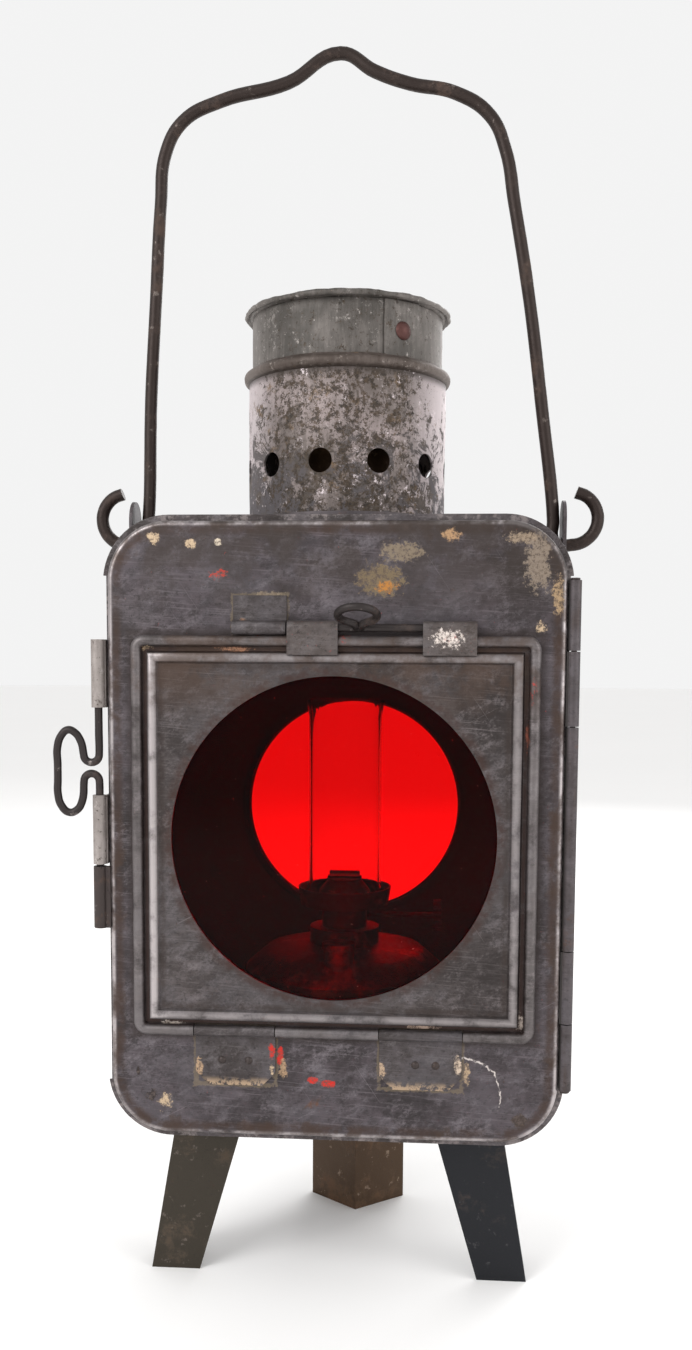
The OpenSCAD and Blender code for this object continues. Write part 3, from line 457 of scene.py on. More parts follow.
def edge_finish():
    """Thin sheet edges that stand out past the casing, worn bright in places."""
    finish = Finish("flange_paint")
    colour, roughness, metallic, height = paint_layers(
        finish, tone(78, 70, 71), tone(48, 42, 40), tone(150, 142, 144), None, 0.6, 14)
    worn = finish.clouds(0.5, 0.6, 8, 6, 0.75, seed=27)
    colour = finish.mix(worn * 0.5, colour, tone(150, 140, 138))
    return close_paint(finish, colour, roughness, metallic, height)


def tin_finish(name, base, light, pale, dark, flake, brown, seed, low_corrosion=0.0,
               speckled=0.12, painted_side_sheen=0.0):
    """Dull tinned sheet with white corrosion, dark flaking patches and rust.

    flake and brown say how much of it is dark and how much is rusty, low_corrosion how much
    more its foot is, speckled how thick its specks are, and the last setting how strong a
    painted sheen is that makes it paler towards -X and +X.
    """
    finish = Finish(name)
    broad = finish.noise(30, 5, 0.65, seed=seed)
    fine = finish.noise(2.2, 7, 0.8, seed=seed + 1)
    streak = finish.noise(6, 6, 0.7, (0.4, 0.4, 3.2), seed=seed + 2)
    colour = finish.mix(finish.rise(broad + streak * 0.5, 0.6, 0.95), base, light)
    white = finish.rise(finish.noise(7, 8, 0.8, seed=seed + 3) + streak * 0.15 + fine * 0.15,
                        0.72, 0.84)
    colour = finish.mix(white * 0.7, colour, pale)
    # A painted sheen: the round sheet is made paler towards -X and +X, where light catches its
    # curved sides; the same mask thins the crust there.
    side = finish.rise(abs(finish.across(0)), 0.027, 0.047) * painted_side_sheen
    colour = finish.mix(side * 0.75, colour, pale)
    foot = 1 - finish.rise(finish.across(2), 0.362, 0.425)
    left = 1 - finish.rise(finish.across(0), -0.04, 0.0)
    patch = finish.rise(finish.noise(14, 9, 0.8, seed=seed + 4, warp=0.5) + foot * low_corrosion
                        + foot * left * low_corrosion + fine * 0.12, 0.7 - flake, 0.73 - flake)
    patch_colour = finish.mix(finish.rise(fine, 0.4, 0.6), dark, tone(80, 70, 62))
    slate = finish.clouds(0.42, 0.5, 20, 4, 0.6, seed=seed + 8)
    patch_colour = finish.mix(slate * foot, patch_colour, tone(74, 70, 73))
    colour = finish.mix(patch * 0.92, colour, patch_colour)
    rust = finish.rise(finish.noise(11, 8, 0.8, seed=seed + 5) + fine * 0.1, 0.68 - brown,
                       0.74 - brown)
    colour = finish.mix(rust * 0.7, colour, tone(104, 82, 56))
    thick = finish.noise(24, 4, 0.6, seed=seed + 9)
    specks = finish.rise(finish.noise(2.0, 6, 0.8, seed=seed + 6) + thick * speckled,
                         0.58 + speckled * 0.55, 0.62 + speckled * 0.55)
    colour = finish.mix(specks * 0.85, colour, tone(50, 38, 28))
    crust = finish.rise(finish.noise(3.4, 9, 0.85, seed=seed + 13) - side * 0.14,
                        0.65 - speckled * 0.37, 0.675 - speckled * 0.37)
    colour = finish.mix(crust * 0.92, colour, finish.mix(finish.rise(fine, 0.4, 0.6),
                                                         tone(34, 26, 18), tone(66, 52, 37)))
    # A painted shadow: a dark band on the lower sheet just under the bead's overhang.
    bead_painted_shadow = finish.rise(finish.across(2), BEAD_LOW - 4 * MM, BEAD_LOW) * (
        1 - finish.rise(finish.across(2), BEAD_LOW, BEAD_LOW + MM))
    colour = finish.mix(bead_painted_shadow * 0.75, colour, tone(48, 40, 35))
    flecks = finish.rise(finish.noise(2.6, 6, 0.8, seed=seed + 12) + thick * speckled,
                         0.6 + speckled * 0.55, 0.64 + speckled * 0.55)
    colour = finish.mix(flecks * 0.75, colour, pale)
    roughness = 0.5 + fine * 0.15 + patch * 0.2 + rust * 0.15
    metallic = 0.45 - patch * 0.35 - rust * 0.3 - white * 0.2
    height = fine * 0.3 + white * 0.35 - patch * 0.5 + broad * 0.3
    finish.feed(Base_Color=colour, Roughness=roughness, Metallic=metallic,
                Normal=finish.bump(height, 0.16, 0.9, finish.bump(
                    finish.noise(17, 2, 0.5, seed=seed + 7), 0.8, 0.4)))
    return finish.material


def iron_finish(name, base, brown, light, seed, share):
    """Old forged rod or heavy sheet: nearly black, with brown rust and a few worn spots."""
    finish = Finish(name)
    broad = finish.noise(22, 5, 0.65, seed=seed)
    fine = finish.noise(2.4, 7, 0.75, seed=seed + 1)
    rust = finish.rise(broad + fine * 0.4, 0.82 - share * 0.2, 0.98 - share * 0.2)
    colour = finish.mix(rust * 0.85, base, brown)
    worn = finish.rise(finish.noise(6, 6, 0.7, seed=seed + 2) + fine * 0.15, 0.69, 0.75)
    colour = finish.mix(worn * 0.6, colour, light)
    pits = finish.clouds(0.62, 0.68, 1.2, 4, 0.7, seed=seed + 3)
    colour = finish.mix(pits * 0.5, colour, tone(28, 22, 20))
    finish.feed(Base_Color=colour, Roughness=0.46 + rust * 0.3 - worn * 0.12,
                Metallic=0.6 - rust * 0.45,
                Normal=finish.bump(fine * 0.6 + rust * 0.3 - pits * 0.4, 0.2, 0.9,
                                   finish.bump(finish.noise(9, 2, 0.5, seed=seed + 4), 0.4, 0.6)))
    return finish.material


def brass_finish():
    """Brass of the font and burner, brown with soot and green in a few spots."""
    finish = Finish("burner_brass_sooty")
    broad = finish.noise(18, 5, 0.65, seed=51)
    fine = finish.noise(2.2, 6, 0.7, seed=52)
    tarnish = finish.rise(broad + fine * 0.3, 0.36, 0.66)
    colour = finish.mix(tarnish, tone(120, 92, 52), tone(44, 34, 26))
    green = finish.clouds(0.68, 0.74, 5, 6, 0.7, seed=53)
    colour = finish.mix(green * 0.5, colour, tone(84, 104, 82))
    finish.feed(Base_Color=colour, Roughness=0.3 + tarnish * 0.25 + green * 0.2,
                Metallic=0.95 - tarnish * 0.15 - green * 0.6,
                Normal=finish.bump(fine, 0.05, 0.7))
    return finish.material


def glass_finish(name, tint, dust, seed):
    """Clear or coloured glass, with dust and fine scratches on it."""
    finish = Finish(name, IOR=GLASS_INDEX, Transmission_Weight=1.0)
    smear = finish.clouds(0.5, 0.8, 24, 6, 0.7, seed=seed)
    scratch = finish.clouds(0.74, 0.78, 1.6, 2, 0.5, (0.14, 1, 22), turn=48, seed=seed + 1)
    specks = finish.clouds(0.715, 0.74, 1.5, 3, 0.6, seed=seed + 2)
    colour = finish.mix(specks * dust, tint, tone(120, 90, 80))
    finish.feed(Base_Color=colour,
                Roughness=smear * dust * 0.1 + scratch * 0.2 + specks * 0.5,
                Normal=finish.bump(scratch * -0.5 + finish.noise(30, 2, 0.4, seed=seed + 3),
                                   0.06, 0.5))
    return finish.material


def wick_finish():
    """Woven cotton, charred at its top."""
    finish = Finish("wick_cotton_woven", Sheen_Weight=0.3, Roughness=0.95)
    weave = [finish.node("ShaderNodeMath", {"operation": "SINE"},
                         finish.across(axis) * (2 * math.pi / (pitch * MM)))
             for axis, pitch in ((0, 1.1), (2, 1.4))]
    cloth = weave[0] * weave[1]
    charred = finish.rise(finish.across(2), 0.187, 0.190)
    colour = finish.mix(finish.rise(cloth, -0.8, 0.8), tone(196, 182, 150), tone(228, 218, 192))
    colour = finish.mix(charred, colour, tone(30, 26, 24))
    finish.feed(Base_Color=colour, Normal=finish.bump(cloth, 0.25, 1.0))
    return finish.material


# ---------------------------------------------------------------- making pieces

def deselect():
    if bpy.context.object and bpy.context.object.mode != "OBJECT":
        bpy.ops.object.mode_set(mode="OBJECT")
    bpy.ops.object.select_all(action="DESELECT")


def hold(piece):
    """Makes a piece the only one that the next operator works on."""
    deselect()
    bpy.context.view_layer.objects.active = piece
    piece.select_set(True)


def added(name):
    """Names the object that an operator has just added, and puts its place in its mesh."""
    piece = bpy.context.object
    piece.name = name
    piece.data.name = name
    bpy.ops.object.transform_apply(location=True, rotation=True, scale=True)
    return piece


def edit(piece, kind, chosen=lambda part: True):
    """Enters edit mode with only the faces, edges or vertices selected that chosen accepts."""
    hold(piece)
    bpy.ops.object.mode_set(mode="EDIT")
    bpy.ops.mesh.select_mode(type={"faces": "FACE", "edges": "EDGE", "verts": "VERT"}[kind])
    bpy.ops.mesh.select_all(action="DESELECT")
    mesh = bmesh.from_edit_mesh(piece.data)
    for part in getattr(mesh, kind):
        if chosen(part):
            part.select_set(True)
    mesh.select_flush_mode()
    bmesh.update_edit_mesh(piece.data)


def done():
    bpy.ops.object.mode_set(mode="OBJECT")


def modify(piece, kind, **settings):
    """Adds a modifier of a kind with its settings, and applies it."""
    hold(piece)
    modifier = piece.modifiers.new(kind.lower(), kind)
    for key, value in settings.items():
        setattr(modifier, key, value)
    bpy.ops.object.modifier_apply(modifier=modifier.name)


def dent(piece, size, strength, middle=0.5):
    """Uneven hand-made surface: lumps of a size, pushed in and out by strength, in millimetres.

    Where the lumps' noise is at middle, the surface stays.
    """
    texture = bpy.data.textures.new("lumps", "CLOUDS")
    texture.noise_scale = size * MM
    texture.noise_depth = 2
    modify(piece, "DISPLACE", texture=texture, texture_coords="LOCAL", strength=strength * MM,
           mid_level=middle)


def box(name, low, high):
    """A box between two corners."""
    low, high = Vector(low), Vector(high)
    deselect()
    bpy.ops.mesh.primitive_cube_add(size=1, location=(low + high) / 2, scale=high - low)
    return added(name)


def tube(name, radius, low, high, sides, rows):
    """An upright cylinder about the chimney's axis, cut into rows."""
    deselect()
    bpy.ops.mesh.primitive_cylinder_add(vertices=sides, radius=radius, depth=high - low,
                                        end_fill_type="NOTHING",
                                        location=(0, 0, (low + high) / 2))
    piece = added(name)
    for row in range(1, rows):
        edit(piece, "faces")
        bpy.ops.mesh.bisect(plane_co=(0, 0, low + (high - low) * row / rows),
                            plane_no=(0, 0, 1))
        done()
    return piece


def lathe(name, profile, height, closed=True):
    """Spins an outline of (radius, height) pairs in millimetres about the chimney's axis."""
    count = len(profile)
    edges = [(i, i + 1) for i in range(count - 1)] + ([(count - 1, 0)] if closed else [])
    mesh = bpy.data.meshes.new(name)
    mesh.from_pydata([Vector((r, 0, z)) * MM for r, z in profile], edges, [])
    piece = bpy.data.objects.new(name, mesh)
    bpy.context.scene.collection.objects.link(piece)
    edit(piece, "verts")
    bpy.ops.mesh.spin(steps=CHIMNEY_SIDES, angle=2 * math.pi, center=(0, 0, 0), axis=(0, 0, 1))
    bpy.ops.mesh.select_all(action="SELECT")
    bpy.ops.mesh.remove_doubles(threshold=0.002 * MM)
    bpy.ops.mesh.normals_make_consistent(inside=False)
    done()
    piece.data.transform(Matrix.Translation((0, 0, height)))
    return piece


def rod(name, points, radius, soft=True, sides=5):
    """A round rod through points in metres, with closed ends. It bends smoothly if soft."""
    deselect()
    bpy.ops.curve.primitive_bezier_curve_add(location=(0, 0, 0))
    piece = bpy.context.object
    piece.name = name
    curve = piece.data
    curve.splines.clear()
    spline = curve.splines.new("BEZIER" if soft else "POLY")
    if soft:
        spline.bezier_points.add(len(points) - 1)
        for knot, point in zip(spline.bezier_points, points):
            knot.co = point
            knot.handle_left_type = knot.handle_right_type = "AUTO"
    else:
        spline.points.add(len(points) - 1)
        for knot, point in zip(spline.points, points):
            knot.co = (*point, 1)
    curve.dimensions = "3D"
    curve.resolution_u = 8
    curve.bevel_depth = radius
    curve.bevel_resolution = sides
    curve.use_fill_caps = True
    bpy.ops.object.convert(target="MESH")
    piece = bpy.context.object
    piece.data.name = name
    edit(piece, "verts")
    bpy.ops.mesh.remove_doubles(threshold=0.002 * MM)
    bpy.ops.mesh.normals_make_consistent(inside=False)
    done()
    return piece


def arc(centre, radius, start, end, steps):
    """Points along an arc about a centre, from one angle to another in degrees."""
    angles = [math.radians(start + (end - start) * i / steps) for i in range(steps + 1)]
    return [(centre[0] + radius * math.cos(a), centre[1] + radius * math.sin(a))
            for a in angles]


def finished(piece, material, node, angle=35):
    """Gives a piece its finish, and puts it on the body of the solid that it stands for."""
    hold(piece)
    bpy.ops.object.shade_smooth_by_angle(angle=math.radians(angle))
    modify(piece, "WEIGHTED_NORMAL", keep_sharp=True, weight=80)
    piece.data.materials.clear()
    piece.data.materials.append(material)
    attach(piece, BODY_OF[node])
    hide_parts(node)


def eased(node, material, width):
    """A copy of a solid whose sharp edges are rounded off by a width in millimetres."""
    piece = bpy.data.objects.new(f"{node}_eased", NODES[node].data.copy())
    bpy.context.scene.collection.objects.link(piece)
    edit(piece, "verts")
    bpy.ops.mesh.remove_doubles(threshold=0.003 * MM)
    bpy.ops.mesh.dissolve_limited(angle_limit=math.radians(1))
    done()
    if width:
        modify(piece, "BEVEL", width=width * MM, segments=2, limit_method="ANGLE",
               angle_limit=math.radians(40))
    finished(piece, material, node)


# ---------------------------------------------------------------- the door and the lens frame

def runs_back(edge):
    """Whether an edge goes from front to back."""
    return abs(edge.verts[0].co.y - edge.verts[1].co.y) > 1 * MM


def cut_away(piece, cutter):
    modify(piece, "BOOLEAN", object=cutter, operation="DIFFERENCE", solver="EXACT")
    bpy.data.objects.remove(cutter)


def slice_faces(piece, place, normal):
    """Splits the faces that a plane crosses, so that dents have points to move."""
    edit(piece, "faces")
    bpy.ops.mesh.bisect(plane_co=place, plane_no=normal)
    done()


def door_skin(material):
    """The door: a shallow pan with rounded corners, folded edges and a square opening."""
    fold, skin, opening = 2.3 * MM, 1.2 * MM, 81.5 * MM
    columns, column_w = 20, 10 * MM
    rows, row_h = 27, 10.15 * MM
    piece = box("door_skin", DOOR_LOW, DOOR_HIGH)
    edit(piece, "edges", runs_back)
    bpy.ops.mesh.bevel(offset=DOOR_CORNER, segments=14, affect="EDGES")
    done()
    edit(piece, "faces", lambda f: f.normal.y > 0.9)
    bpy.ops.mesh.delete(type="ONLY_FACE")
    done()
    edit(piece, "edges", lambda e: all(abs(v.co.y - DOOR_LOW.y) < 0.01 * MM for v in e.verts))
    bpy.ops.mesh.bevel(offset=fold, segments=4, affect="EDGES")
    done()
    cutter = box("door_opening_cutter", (-opening, DOOR_LOW.y - 10 * MM, LENS_Z - opening),
                 (opening, DOOR_LOW.y + 10 * MM, LENS_Z + opening))
    edit(cutter, "edges", runs_back)
    bpy.ops.mesh.bevel(offset=2 * MM, segments=3, affect="EDGES")
    done()
    modify(piece, "SOLIDIFY", thickness=skin, offset=-1, use_even_offset=True)
    cut_away(piece, cutter)
    for column in range(1, columns):
        slice_faces(piece, (DOOR_LOW.x + column * column_w, 0, 0), (1, 0, 0))
    for row in range(1, rows):
        slice_faces(piece, (0, 0, DOOR_LOW.z + row * row_h), (0, 0, 1))
    dent(piece, 34, 0.45)
    finished(piece, material, "door_plate", angle=40)


def lens_stamping(material):
    """The lens frame's sheet: flange, groove, ridge and panel, pierced for the glass."""
    flange_y, skin = -71.5 * MM, 1.0 * MM
    cell = 12 * MM
    room = 0.4 * MM
    upright = (math.radians(90), 0, 0)
    deselect()
    bpy.ops.mesh.primitive_plane_add(size=2 * LENS_EDGE, location=(0, flange_y, LENS_Z),
                                     rotation=upright)
    piece = added("lens_frame_stamping")
    edit(piece, "faces")
    bpy.ops.mesh.normals_make_consistent(inside=False)
    # Each step goes in by the first number and forward by the second
    for inward, forward in ((2.4, 0.0), (2.0, 0.0), (0.3, 0.5), (0.25, 1.9), (0.35, 0.8),
                            (0.8, 0.5), (1.1, 0.12), (1.1, -0.12), (0.7, -0.35), (0.4, -0.75),
                            (0.5, -0.55), (1.2, -0.2), (1.5, 0.05)):
        bpy.ops.mesh.inset(thickness=inward * MM, depth=forward * MM, use_even_offset=True)
    done()
    if sum(f.normal.y for f in piece.data.polygons) > 0:
        piece.data.flip_normals()
    modify(piece, "SOLIDIFY", thickness=skin, offset=-1, use_even_offset=True)
    for step in range(-7, 8):
        for normal in ((1, 0, 0), (0, 0, 1)):
            slice_faces(piece, (step * cell, 0, LENS_Z + step * cell), normal)
    dent(piece, 26, 0.35, 0.51)
    deselect()
    bpy.ops.mesh.primitive_cylinder_add(vertices=192, radius=APERTURE_R, depth=30 * MM,
                                        location=(0, flange_y, LENS_Z), rotation=upright)
    cut_away(piece, added("aperture_cutter"))
    for name in ("lens_hinge_leaf_left", "lens_hinge_leaf_right"):
        low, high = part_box(name)
        cut_away(piece, box("leaf_notch_cutter", (low.x - room, -90 * MM, 100 * MM),
                            (high.x + room, -60 * MM, high.z + room)))
    finished(piece, material, "lens_frame", angle=32)


def between(start, end, share):
    return tuple(a + (b - a) * share for a, b in zip(start, end))


def lens_roll(material):
    """The frame's rolled edge. Its lower side is the hinge barrel, in three lengths."""
    edge, bend, radius, room = LENS_EDGE / MM, 3.6, 2.5 * MM, 0.4
    pin_low, pin_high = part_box("lens_hinge_pin")
    y = (pin_low.y + pin_high.y) / 2
    straight = edge - bend
    gaps = [(low.x / MM - room, high.x / MM + room)
            for low, high in map(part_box, ("lens_hinge_leaf_left", "lens_hinge_leaf_right"))]
    outline = [(gaps[0][0], -edge)]
    for centre, start in (((-straight, -straight), 270), ((-straight, straight), 180),
                          ((straight, straight), 90), ((straight, -straight), 0)):
        corner = arc(centre, bend, start, start - 90, 8)
        outline += [between(outline[-1], corner[0], i / 12) for i in range(1, 12)] + corner
    outline.append((gaps[1][1], -edge))
    barrel = [between((gaps[0][1], -edge), (gaps[1][0], -edge), i / 5) for i in range(6)]
    for name, run in (("lens_rolled_edge", outline), ("lens_hinge_barrel", barrel)):
        piece = rod(name, [(x * MM, y, LENS_Z + z * MM) for x, z in run], radius, soft=False,
                    sides=6)
        dent(piece, 17, 0.28, 0.52)
        finished(piece, material, "lens_frame", angle=50)


def latch_wire(material):
    """The lens latch: a straight wire and the ring that moves it, bent from one length."""
    low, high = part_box("lens_latch_bolt")
    guide_low, guide_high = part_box("latch_guide_left")
    inside = 3.05 * MM      # from the guide's outer faces to the wire's axis
    y, z = guide_low.y + inside, guide_high.z - inside
    straight = [(low.x + (high.x - low.x) * i / 11, y, z) for i in range(12)]
    bar = rod("lens_latch_wire", straight, BOLT_WIRE_R, soft=False)
    dent(bar, 9, 0.12, 0.51)
    finished(bar, material, "lens_latch_bolt", angle=50)

    ring_x, ring_r, reach, tilt, opened = 11 * MM, 8.25 * MM, 13.5 * MM, math.radians(22), 32
    neck, neck_from, neck_to = 1.3 * MM, 0.6 * MM, 3.6 * MM
    root = Vector((ring_x, y, z))
    away = Vector((0, -math.cos(tilt), math.sin(tilt)))
    turns = [math.radians(90 + opened + (360 - 2 * opened) * i / 22) for i in range(23)]
    loop = [root + away * (reach - math.sin(t) * ring_r) + Vector((math.cos(t) * ring_r, 0, 0))
            for t in turns]
    left, right = Vector((-neck, 0, 0)), Vector((neck, 0, 0))
    ring = rod("lens_latch_ring", [root + away * neck_from + left, root + away * neck_to + left,
                                   *loop, root + away * neck_to + right,
                                   root + away * neck_from + right], BOLT_WIRE_R)
    dent(ring, 9, 0.12, 0.51)
    finished(ring, material, "lens_latch_bolt", angle=50)


def side_bolt(material):
    """The door's side bolt: one wire bent into a finger loop between its guides."""
    low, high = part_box("door_bolt")
    axis_x = high.x - 1.77 * MM
    axis_y = (low.y + high.y) / 2
    foot = high.z / MM - 82.8      # height that the outline's heights start from
    bend, loop_out = 3.5, 18.9
    # The wire from its top down, across from its axis and above the foot, in millimetres
    outline = [(0, 81 - i * 8.0) for i in range(6)] + arc((-bend, 31), bend, 0, -180, 9)
    outline += [(-8.3, 37), (-11, 40.8), (-14, 41.9), (-17, 39.5), (-loop_out, 34),
                (-loop_out, 27), (-loop_out, 20), (-loop_out, 13), (-17.4, 8), (-14, 5),
                (-10.5, 6), (-8, 10)]
    outline += arc((-bend, 19), bend, 180, 0, 9) + [(0, 9), (0, 0), (0, -9), (0, -18.5)]
    points = [(axis_x + x * MM, axis_y, (foot + z) * MM) for x, z in outline]
    piece = rod("side_bolt_wire", points, BOLT_WIRE_R)
    dent(piece, 9, 0.14, 0.51)
    finished(piece, material, "door_bolt", angle=50)


# ---------------------------------------------------------------- the chimney and the bail

def chimney(tin, band_tin, bead_tin):
    """Lower cylinder with its vents, bead, upper band and crimped cap."""
    vents, vent_r, vent_z = 11, 5.5 * MM, TOP_Z + 27.5 * MM
    phase = 5.6      # degrees that the row of vents is turned by
    low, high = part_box("chimney_cylinder")
    lower = tube("chimney_lower_sheet", high.x, low.z, high.z, CHIMNEY_SIDES, 12)
    dent(lower, 21, 0.8, 0.51)
    modify(lower, "SOLIDIFY", thickness=CHIMNEY_SHEET, offset=-1)
    for number in range(vents):
        turn = math.radians(phase + (number - 0.5) * 360 / vents)
        deselect()
        bpy.ops.mesh.primitive_cylinder_add(
            vertices=40, radius=vent_r, depth=14 * MM, rotation=(math.radians(90), 0, turn),
            location=(math.sin(turn) * high.x, -math.cos(turn) * high.x, vent_z))
        cut_away(lower, added("vent_punch"))
    finished(lower, tin, "chimney_cylinder")

    low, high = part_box("chimney_band")
    upper = tube("chimney_upper_sheet", high.x, low.z, high.z, CHIMNEY_SIDES, 8)
    dent(upper, 17, 0.7)
    modify(upper, "SOLIDIFY", thickness=CHIMNEY_SHEET, offset=-1)
    finished(upper, band_tin, "chimney_band")

    low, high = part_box("chimney_bead")
    out = high.x / MM
    profile = [(out - 4.6, -3.4), (out - 2.9, -3.5), (out - 2.6, -2.9)]
    profile += arc((out - 2.45, 0), 2.5, -78, 78, 14)
    profile += [(out - 2.6, 2.9), (out - 3.6, 3.7), (out - 4.6, 3.4)]
    bead = lathe("chimney_rolled_bead", profile, (low.z + high.z) / 2)
    dent(bead, 13, 0.5)
    finished(bead, bead_tin, "chimney_bead", angle=45)

    low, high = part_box("chimney_cap")
    out = high.x / MM
    profile = [(0, 5.6), (8, 5.5), (16, 5.3), (25, 4.9), (33, 4.2), (38, 3.5), (41, 2.9),
               (43.6, 2.7)]
    profile += arc((out - 1.25, 1.45), 1.3, 88, -84, 9)
    profile += [(46.4, 0.9), (45.5, 0.2), (42.5, 0.1), (41.2, 1.0), (38, 2.5), (33, 3.2),
                (25, 3.9), (16, 4.3), (8, 4.5), (0, 4.6)]
    cap = lathe("chimney_crimped_cap", profile, low.z, closed=False)
    dent(cap, 8, 1.5)
    dent(cap, 26, 1.2)
    finished(cap, band_tin, "chimney_cap", angle=50)


def carrying_bail(material):
    """The bail: a hand-bent rod, kinked at its peak and curled outside each ear."""
    pivot_z, height = TOP_Z / MM - 6, 228
    arm_x, curl_x, curl_r, rod_r = 98.5, 107.7, 12.5, 3 * MM
    # Each arm from its foot up: how far in from arm_x, and its share of the bail's height
    left = [(1, 0.05), (3, 0.31), (5.7, 0.51), (8.5, 0.71), (11, 0.81), (19.4, 0.873),
            (37.6, 0.912), (69.9, 0.945)]
    right = [(-0.6, 0.05), (6.3, 0.3), (12.5, 0.5), (20.5, 0.7), (24.8, 0.8), (32.4, 0.87),
             (48.8, 0.916), (69.8, 0.936), (86.2, 0.962)]

    def side(sign, bends):
        curl = arc((curl_x, pivot_z + curl_r), curl_r, 80, -90, 8)
        foot = [(arm_x + 2.6, pivot_z), (arm_x + 0.4, pivot_z + 3.4)]
        arm = [(arm_x - inward, pivot_z + share * height) for inward, share in bends]
        return [(sign * x * MM, 0, z * MM) for x, z in curl + foot + arm]

    peak = (-4 * MM, 0, (pivot_z + height) * MM)
    points = side(-1, left) + [peak] + side(1, right)[::-1]
    piece = rod("carrying_bail_rod", points, rod_r, sides=7)
    dent(piece, 24, 0.3)
    finished(piece, material, "bail", angle=60)


# ---------------------------------------------------------------- surroundings

def floor(radius=14):
    """A wide pale floor under the feet."""
    finish = Finish("pale_floor", Roughness=0.7)
    shade = finish.mix(finish.noise(400, 3, 0.5, seed=71), tone(249, 248, 247),
                       tone(252, 251, 250))
    finish.feed(Base_Color=shade)
    deselect()
    bpy.ops.mesh.primitive_circle_add(vertices=96, radius=radius, fill_type="NGON")
    ground = added("floor")
    ground.data.materials.append(finish.material)


def soft_light(name, place, target, size, power):
    """A square light of a size in metres and a power in watts, turned towards a target."""
    deselect()
    bpy.ops.object.light_add(type="AREA", location=place)
    lamp = bpy.context.object
    lamp.name = name
    lamp.data.size = size
    lamp.data.energy = power
    lamp.rotation_euler = (Vector(target) - Vector(place)).to_track_quat("-Z", "Y").to_euler()


def studio():
    """Three soft lights in a white room, and plain display colours."""
    middle = (0, 0, 0.27)
    soft_light("key_light", (-0.95, -1.1, 1.0), middle, 0.9, 15)
    soft_light("fill_light", (1.3, -0.7, 0.7), middle, 1.0, 8)
    soft_light("back_light", (0.5, 1.4, 1.1), middle, 1.1, 12)
    world = bpy.data.worlds.new("pale_room")
    world.use_nodes = True
    room = world.node_tree.nodes["Background"].inputs
    room["Color"].default_value = (1, 1, 1, 1)
    room["Strength"].default_value = 0.9
    bpy.context.scene.world = world
    bpy.context.scene.view_settings.view_transform = "Standard"


def camera():
    """A camera just above the lens's height, a little to the right, tilted slightly down."""
    place = Vector((45.3, -612.5, 294.1)) * MM
    yaw, pitch, roll = (math.radians(a) for a in (-4.2, -5.21, 0.31))
    ahead = Vector((math.sin(yaw) * math.cos(pitch), math.cos(yaw) * math.cos(pitch),
                    math.sin(pitch)))
    level = Vector((math.cos(yaw), -math.sin(yaw), 0))
    upright = level.cross(ahead)
    right = level * math.cos(roll) + upright * math.sin(roll)
    up = upright * math.cos(roll) - level * math.sin(roll)
    deselect()
    bpy.ops.object.camera_add()
    view = bpy.context.object
    turned = Matrix((right, up, -ahead)).transposed().to_4x4()
    view.matrix_world = Matrix.Translation(place) @ turned
    view.data.sensor_fit = "VERTICAL"
    view.data.sensor_height = 36
    view.data.lens = 33.32
    view.data.shift_y = 0.074
    bpy.context.scene.camera = view


# ---------------------------------------------------------------- the lantern

camera()
studio()
floor()

door_paint = door_finish()
lens_paint = lens_finish()
leaf_paint = leaf_finish()
guide_paint = guide_finish()
casing_paint = body_finish()
flange_paint = edge_finish()
# The last setting of each chimney sheet is a painted sheen that makes it paler at its sides.
chimney_tin = tin_finish(
    "chimney_tin", tone(96, 87, 83), tone(142, 130, 128), tone(220, 208, 210), tone(52, 43, 32),
    flake=0.075, brown=0.06, seed=2, low_corrosion=0.08, speckled=0.42, painted_side_sheen=1.0)
band_tin = tin_finish(
    "chimney_band_tin", tone(68, 64, 60), tone(108, 102, 98), tone(166, 159, 154),
    tone(46, 39, 34), flake=0.0, brown=-0.02, seed=7, speckled=0.24, painted_side_sheen=0.5)
bead_tin = tin_finish(
    "chimney_bead_tin", tone(68, 58, 52), tone(102, 92, 87), tone(150, 140, 134),
    tone(38, 30, 26), flake=0.0, brown=0.03, seed=9, speckled=0.2, painted_side_sheen=0.5)
guide_tin = tin_finish(
    "side_guide_tin", tone(126, 118, 114), tone(158, 150, 146), tone(182, 174, 170),
    tone(84, 74, 68), flake=-0.08, brown=-0.03, seed=12)
bail_iron, wire_iron, pin_iron, left_leg_iron, right_leg_iron, back_leg_iron, rivet_rust = (
    iron_finish(name, tone(*base), tone(*brown), tone(*light), seed, share)
    for name, base, brown, light, seed, share in (
        ("bail_rod_iron", (44, 34, 30), (70, 52, 42), (112, 102, 96), 1, 0.5),
        ("bolt_wire_iron", (46, 40, 39), (64, 50, 44), (140, 130, 126), 4, 0.4),
        ("hinge_pin_iron", (60, 52, 50), (78, 56, 44), (140, 132, 128), 6, 0.5),
        ("left_leg_sheet", (56, 50, 42), (74, 60, 46), (104, 94, 88), 8, 0.5),
        ("right_leg_sheet", (30, 31, 35), (50, 40, 36), (74, 72, 74), 10, 0.2),
        ("back_leg_sheet", (72, 54, 38), (92, 66, 44), (150, 130, 112), 12, 0.8),
        ("rusted_rivet_iron", (80, 50, 46), (104, 62, 52), (128, 96, 88), 14, 0.8)))
brass = brass_finish()
red_glass = glass_finish("signal_red_glass", (0.9, 0.0004, 0.001, 1), 0.3, 81)
clear_glass = glass_finish("clear_glass_dusty", (0.97, 0.98, 0.98, 1), 0.1, 91)
chimney_glass = glass_finish("lamp_chimney_glass", (0.96, 0.98, 0.97, 1), 0.04, 97)
cotton = wick_finish()

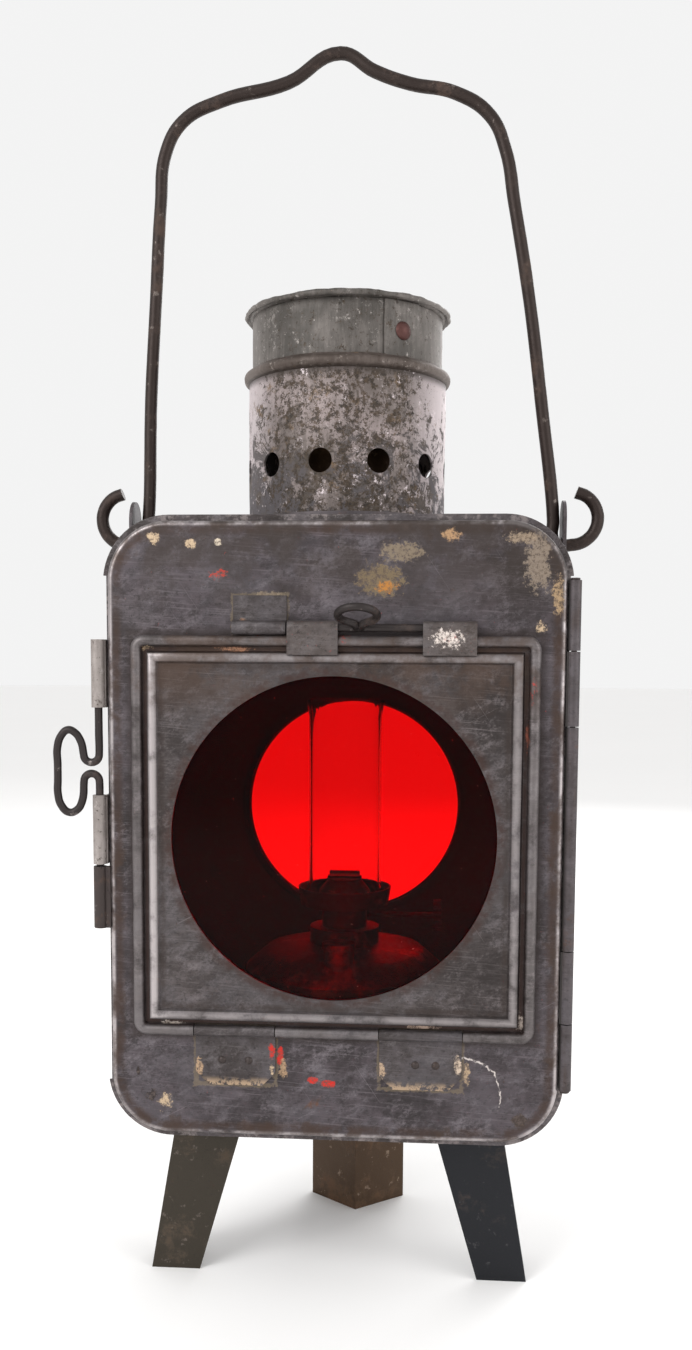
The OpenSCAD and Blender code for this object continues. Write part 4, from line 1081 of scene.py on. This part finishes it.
door_skin(door_paint)
lens_stamping(lens_paint)
lens_roll(lens_paint)
latch_wire(wire_iron)
side_bolt(wire_iron)
chimney(chimney_tin, band_tin, bead_tin)
carrying_bail(bail_iron)

# The plain pieces: solid, finish, and how far its edges are rounded off in millimetres
for node, material, width in (
        ("casing_shell", casing_paint, 0.3), ("casing_front_flange", flange_paint, 0.25),
        ("back_plate", casing_paint, 0.35), ("back_window_ring", casing_paint, 0.3),
        ("chimney_base_ring", casing_paint, 0.2), ("band_lap_strip", band_tin, 0.25),
        ("band_rivet", rivet_rust, 0.2), ("inner_cowl", back_leg_iron, 0),
        ("leg_front_left", left_leg_iron, 0.5), ("leg_front_right", right_leg_iron, 0.5),
        ("leg_back", back_leg_iron, 0.5), ("leg_rivets", pin_iron, 0),
        ("bail_ear_left", casing_paint, 0.4), ("bail_ear_right", casing_paint, 0.4),
        ("ear_rivets", pin_iron, 0), ("casing_hinge_knuckles", casing_paint, 0.3),
        ("door_hinge_pin", pin_iron, 0.2), ("bolt_guide_upper", guide_tin, 0.3),
        ("bolt_guide_lower", guide_tin, 0.3), ("side_rivets", pin_iron, 0),
        ("door_hinge_knuckles", casing_paint, 0.3), ("door_bolt_keeper", pin_iron, 0.3),
        ("latch_keeper", leaf_paint, 0.3), ("lens_hinge_leaf_left", leaf_paint, 0.3),
        ("lens_hinge_leaf_right", leaf_paint, 0.3), ("lens_leaf_rivets", pin_iron, 0),
        ("lens_hinge_pin", pin_iron, 0.2), ("glass_retainer", casing_paint, 0.2),
        ("latch_guide_left", guide_paint, 0.3), ("latch_guide_right", guide_paint, 0.3),
        ("red_glass", red_glass, 0), ("back_glass", clear_glass, 0),
        ("lamp_glass", chimney_glass, 0), ("font_tray", casing_paint, 0.2),
        ("oil_font", brass, 0.6), ("filler_cap", brass, 0.5), ("burner_collar", brass, 0.3),
        ("burner_gallery", brass, 0.2), ("burner_cone", brass, 0.15), ("wick_tube", brass, 0.1),
        ("wick_knob", brass, 0.3), ("wick", cotton, 0.3)):
    eased(node, material, width)
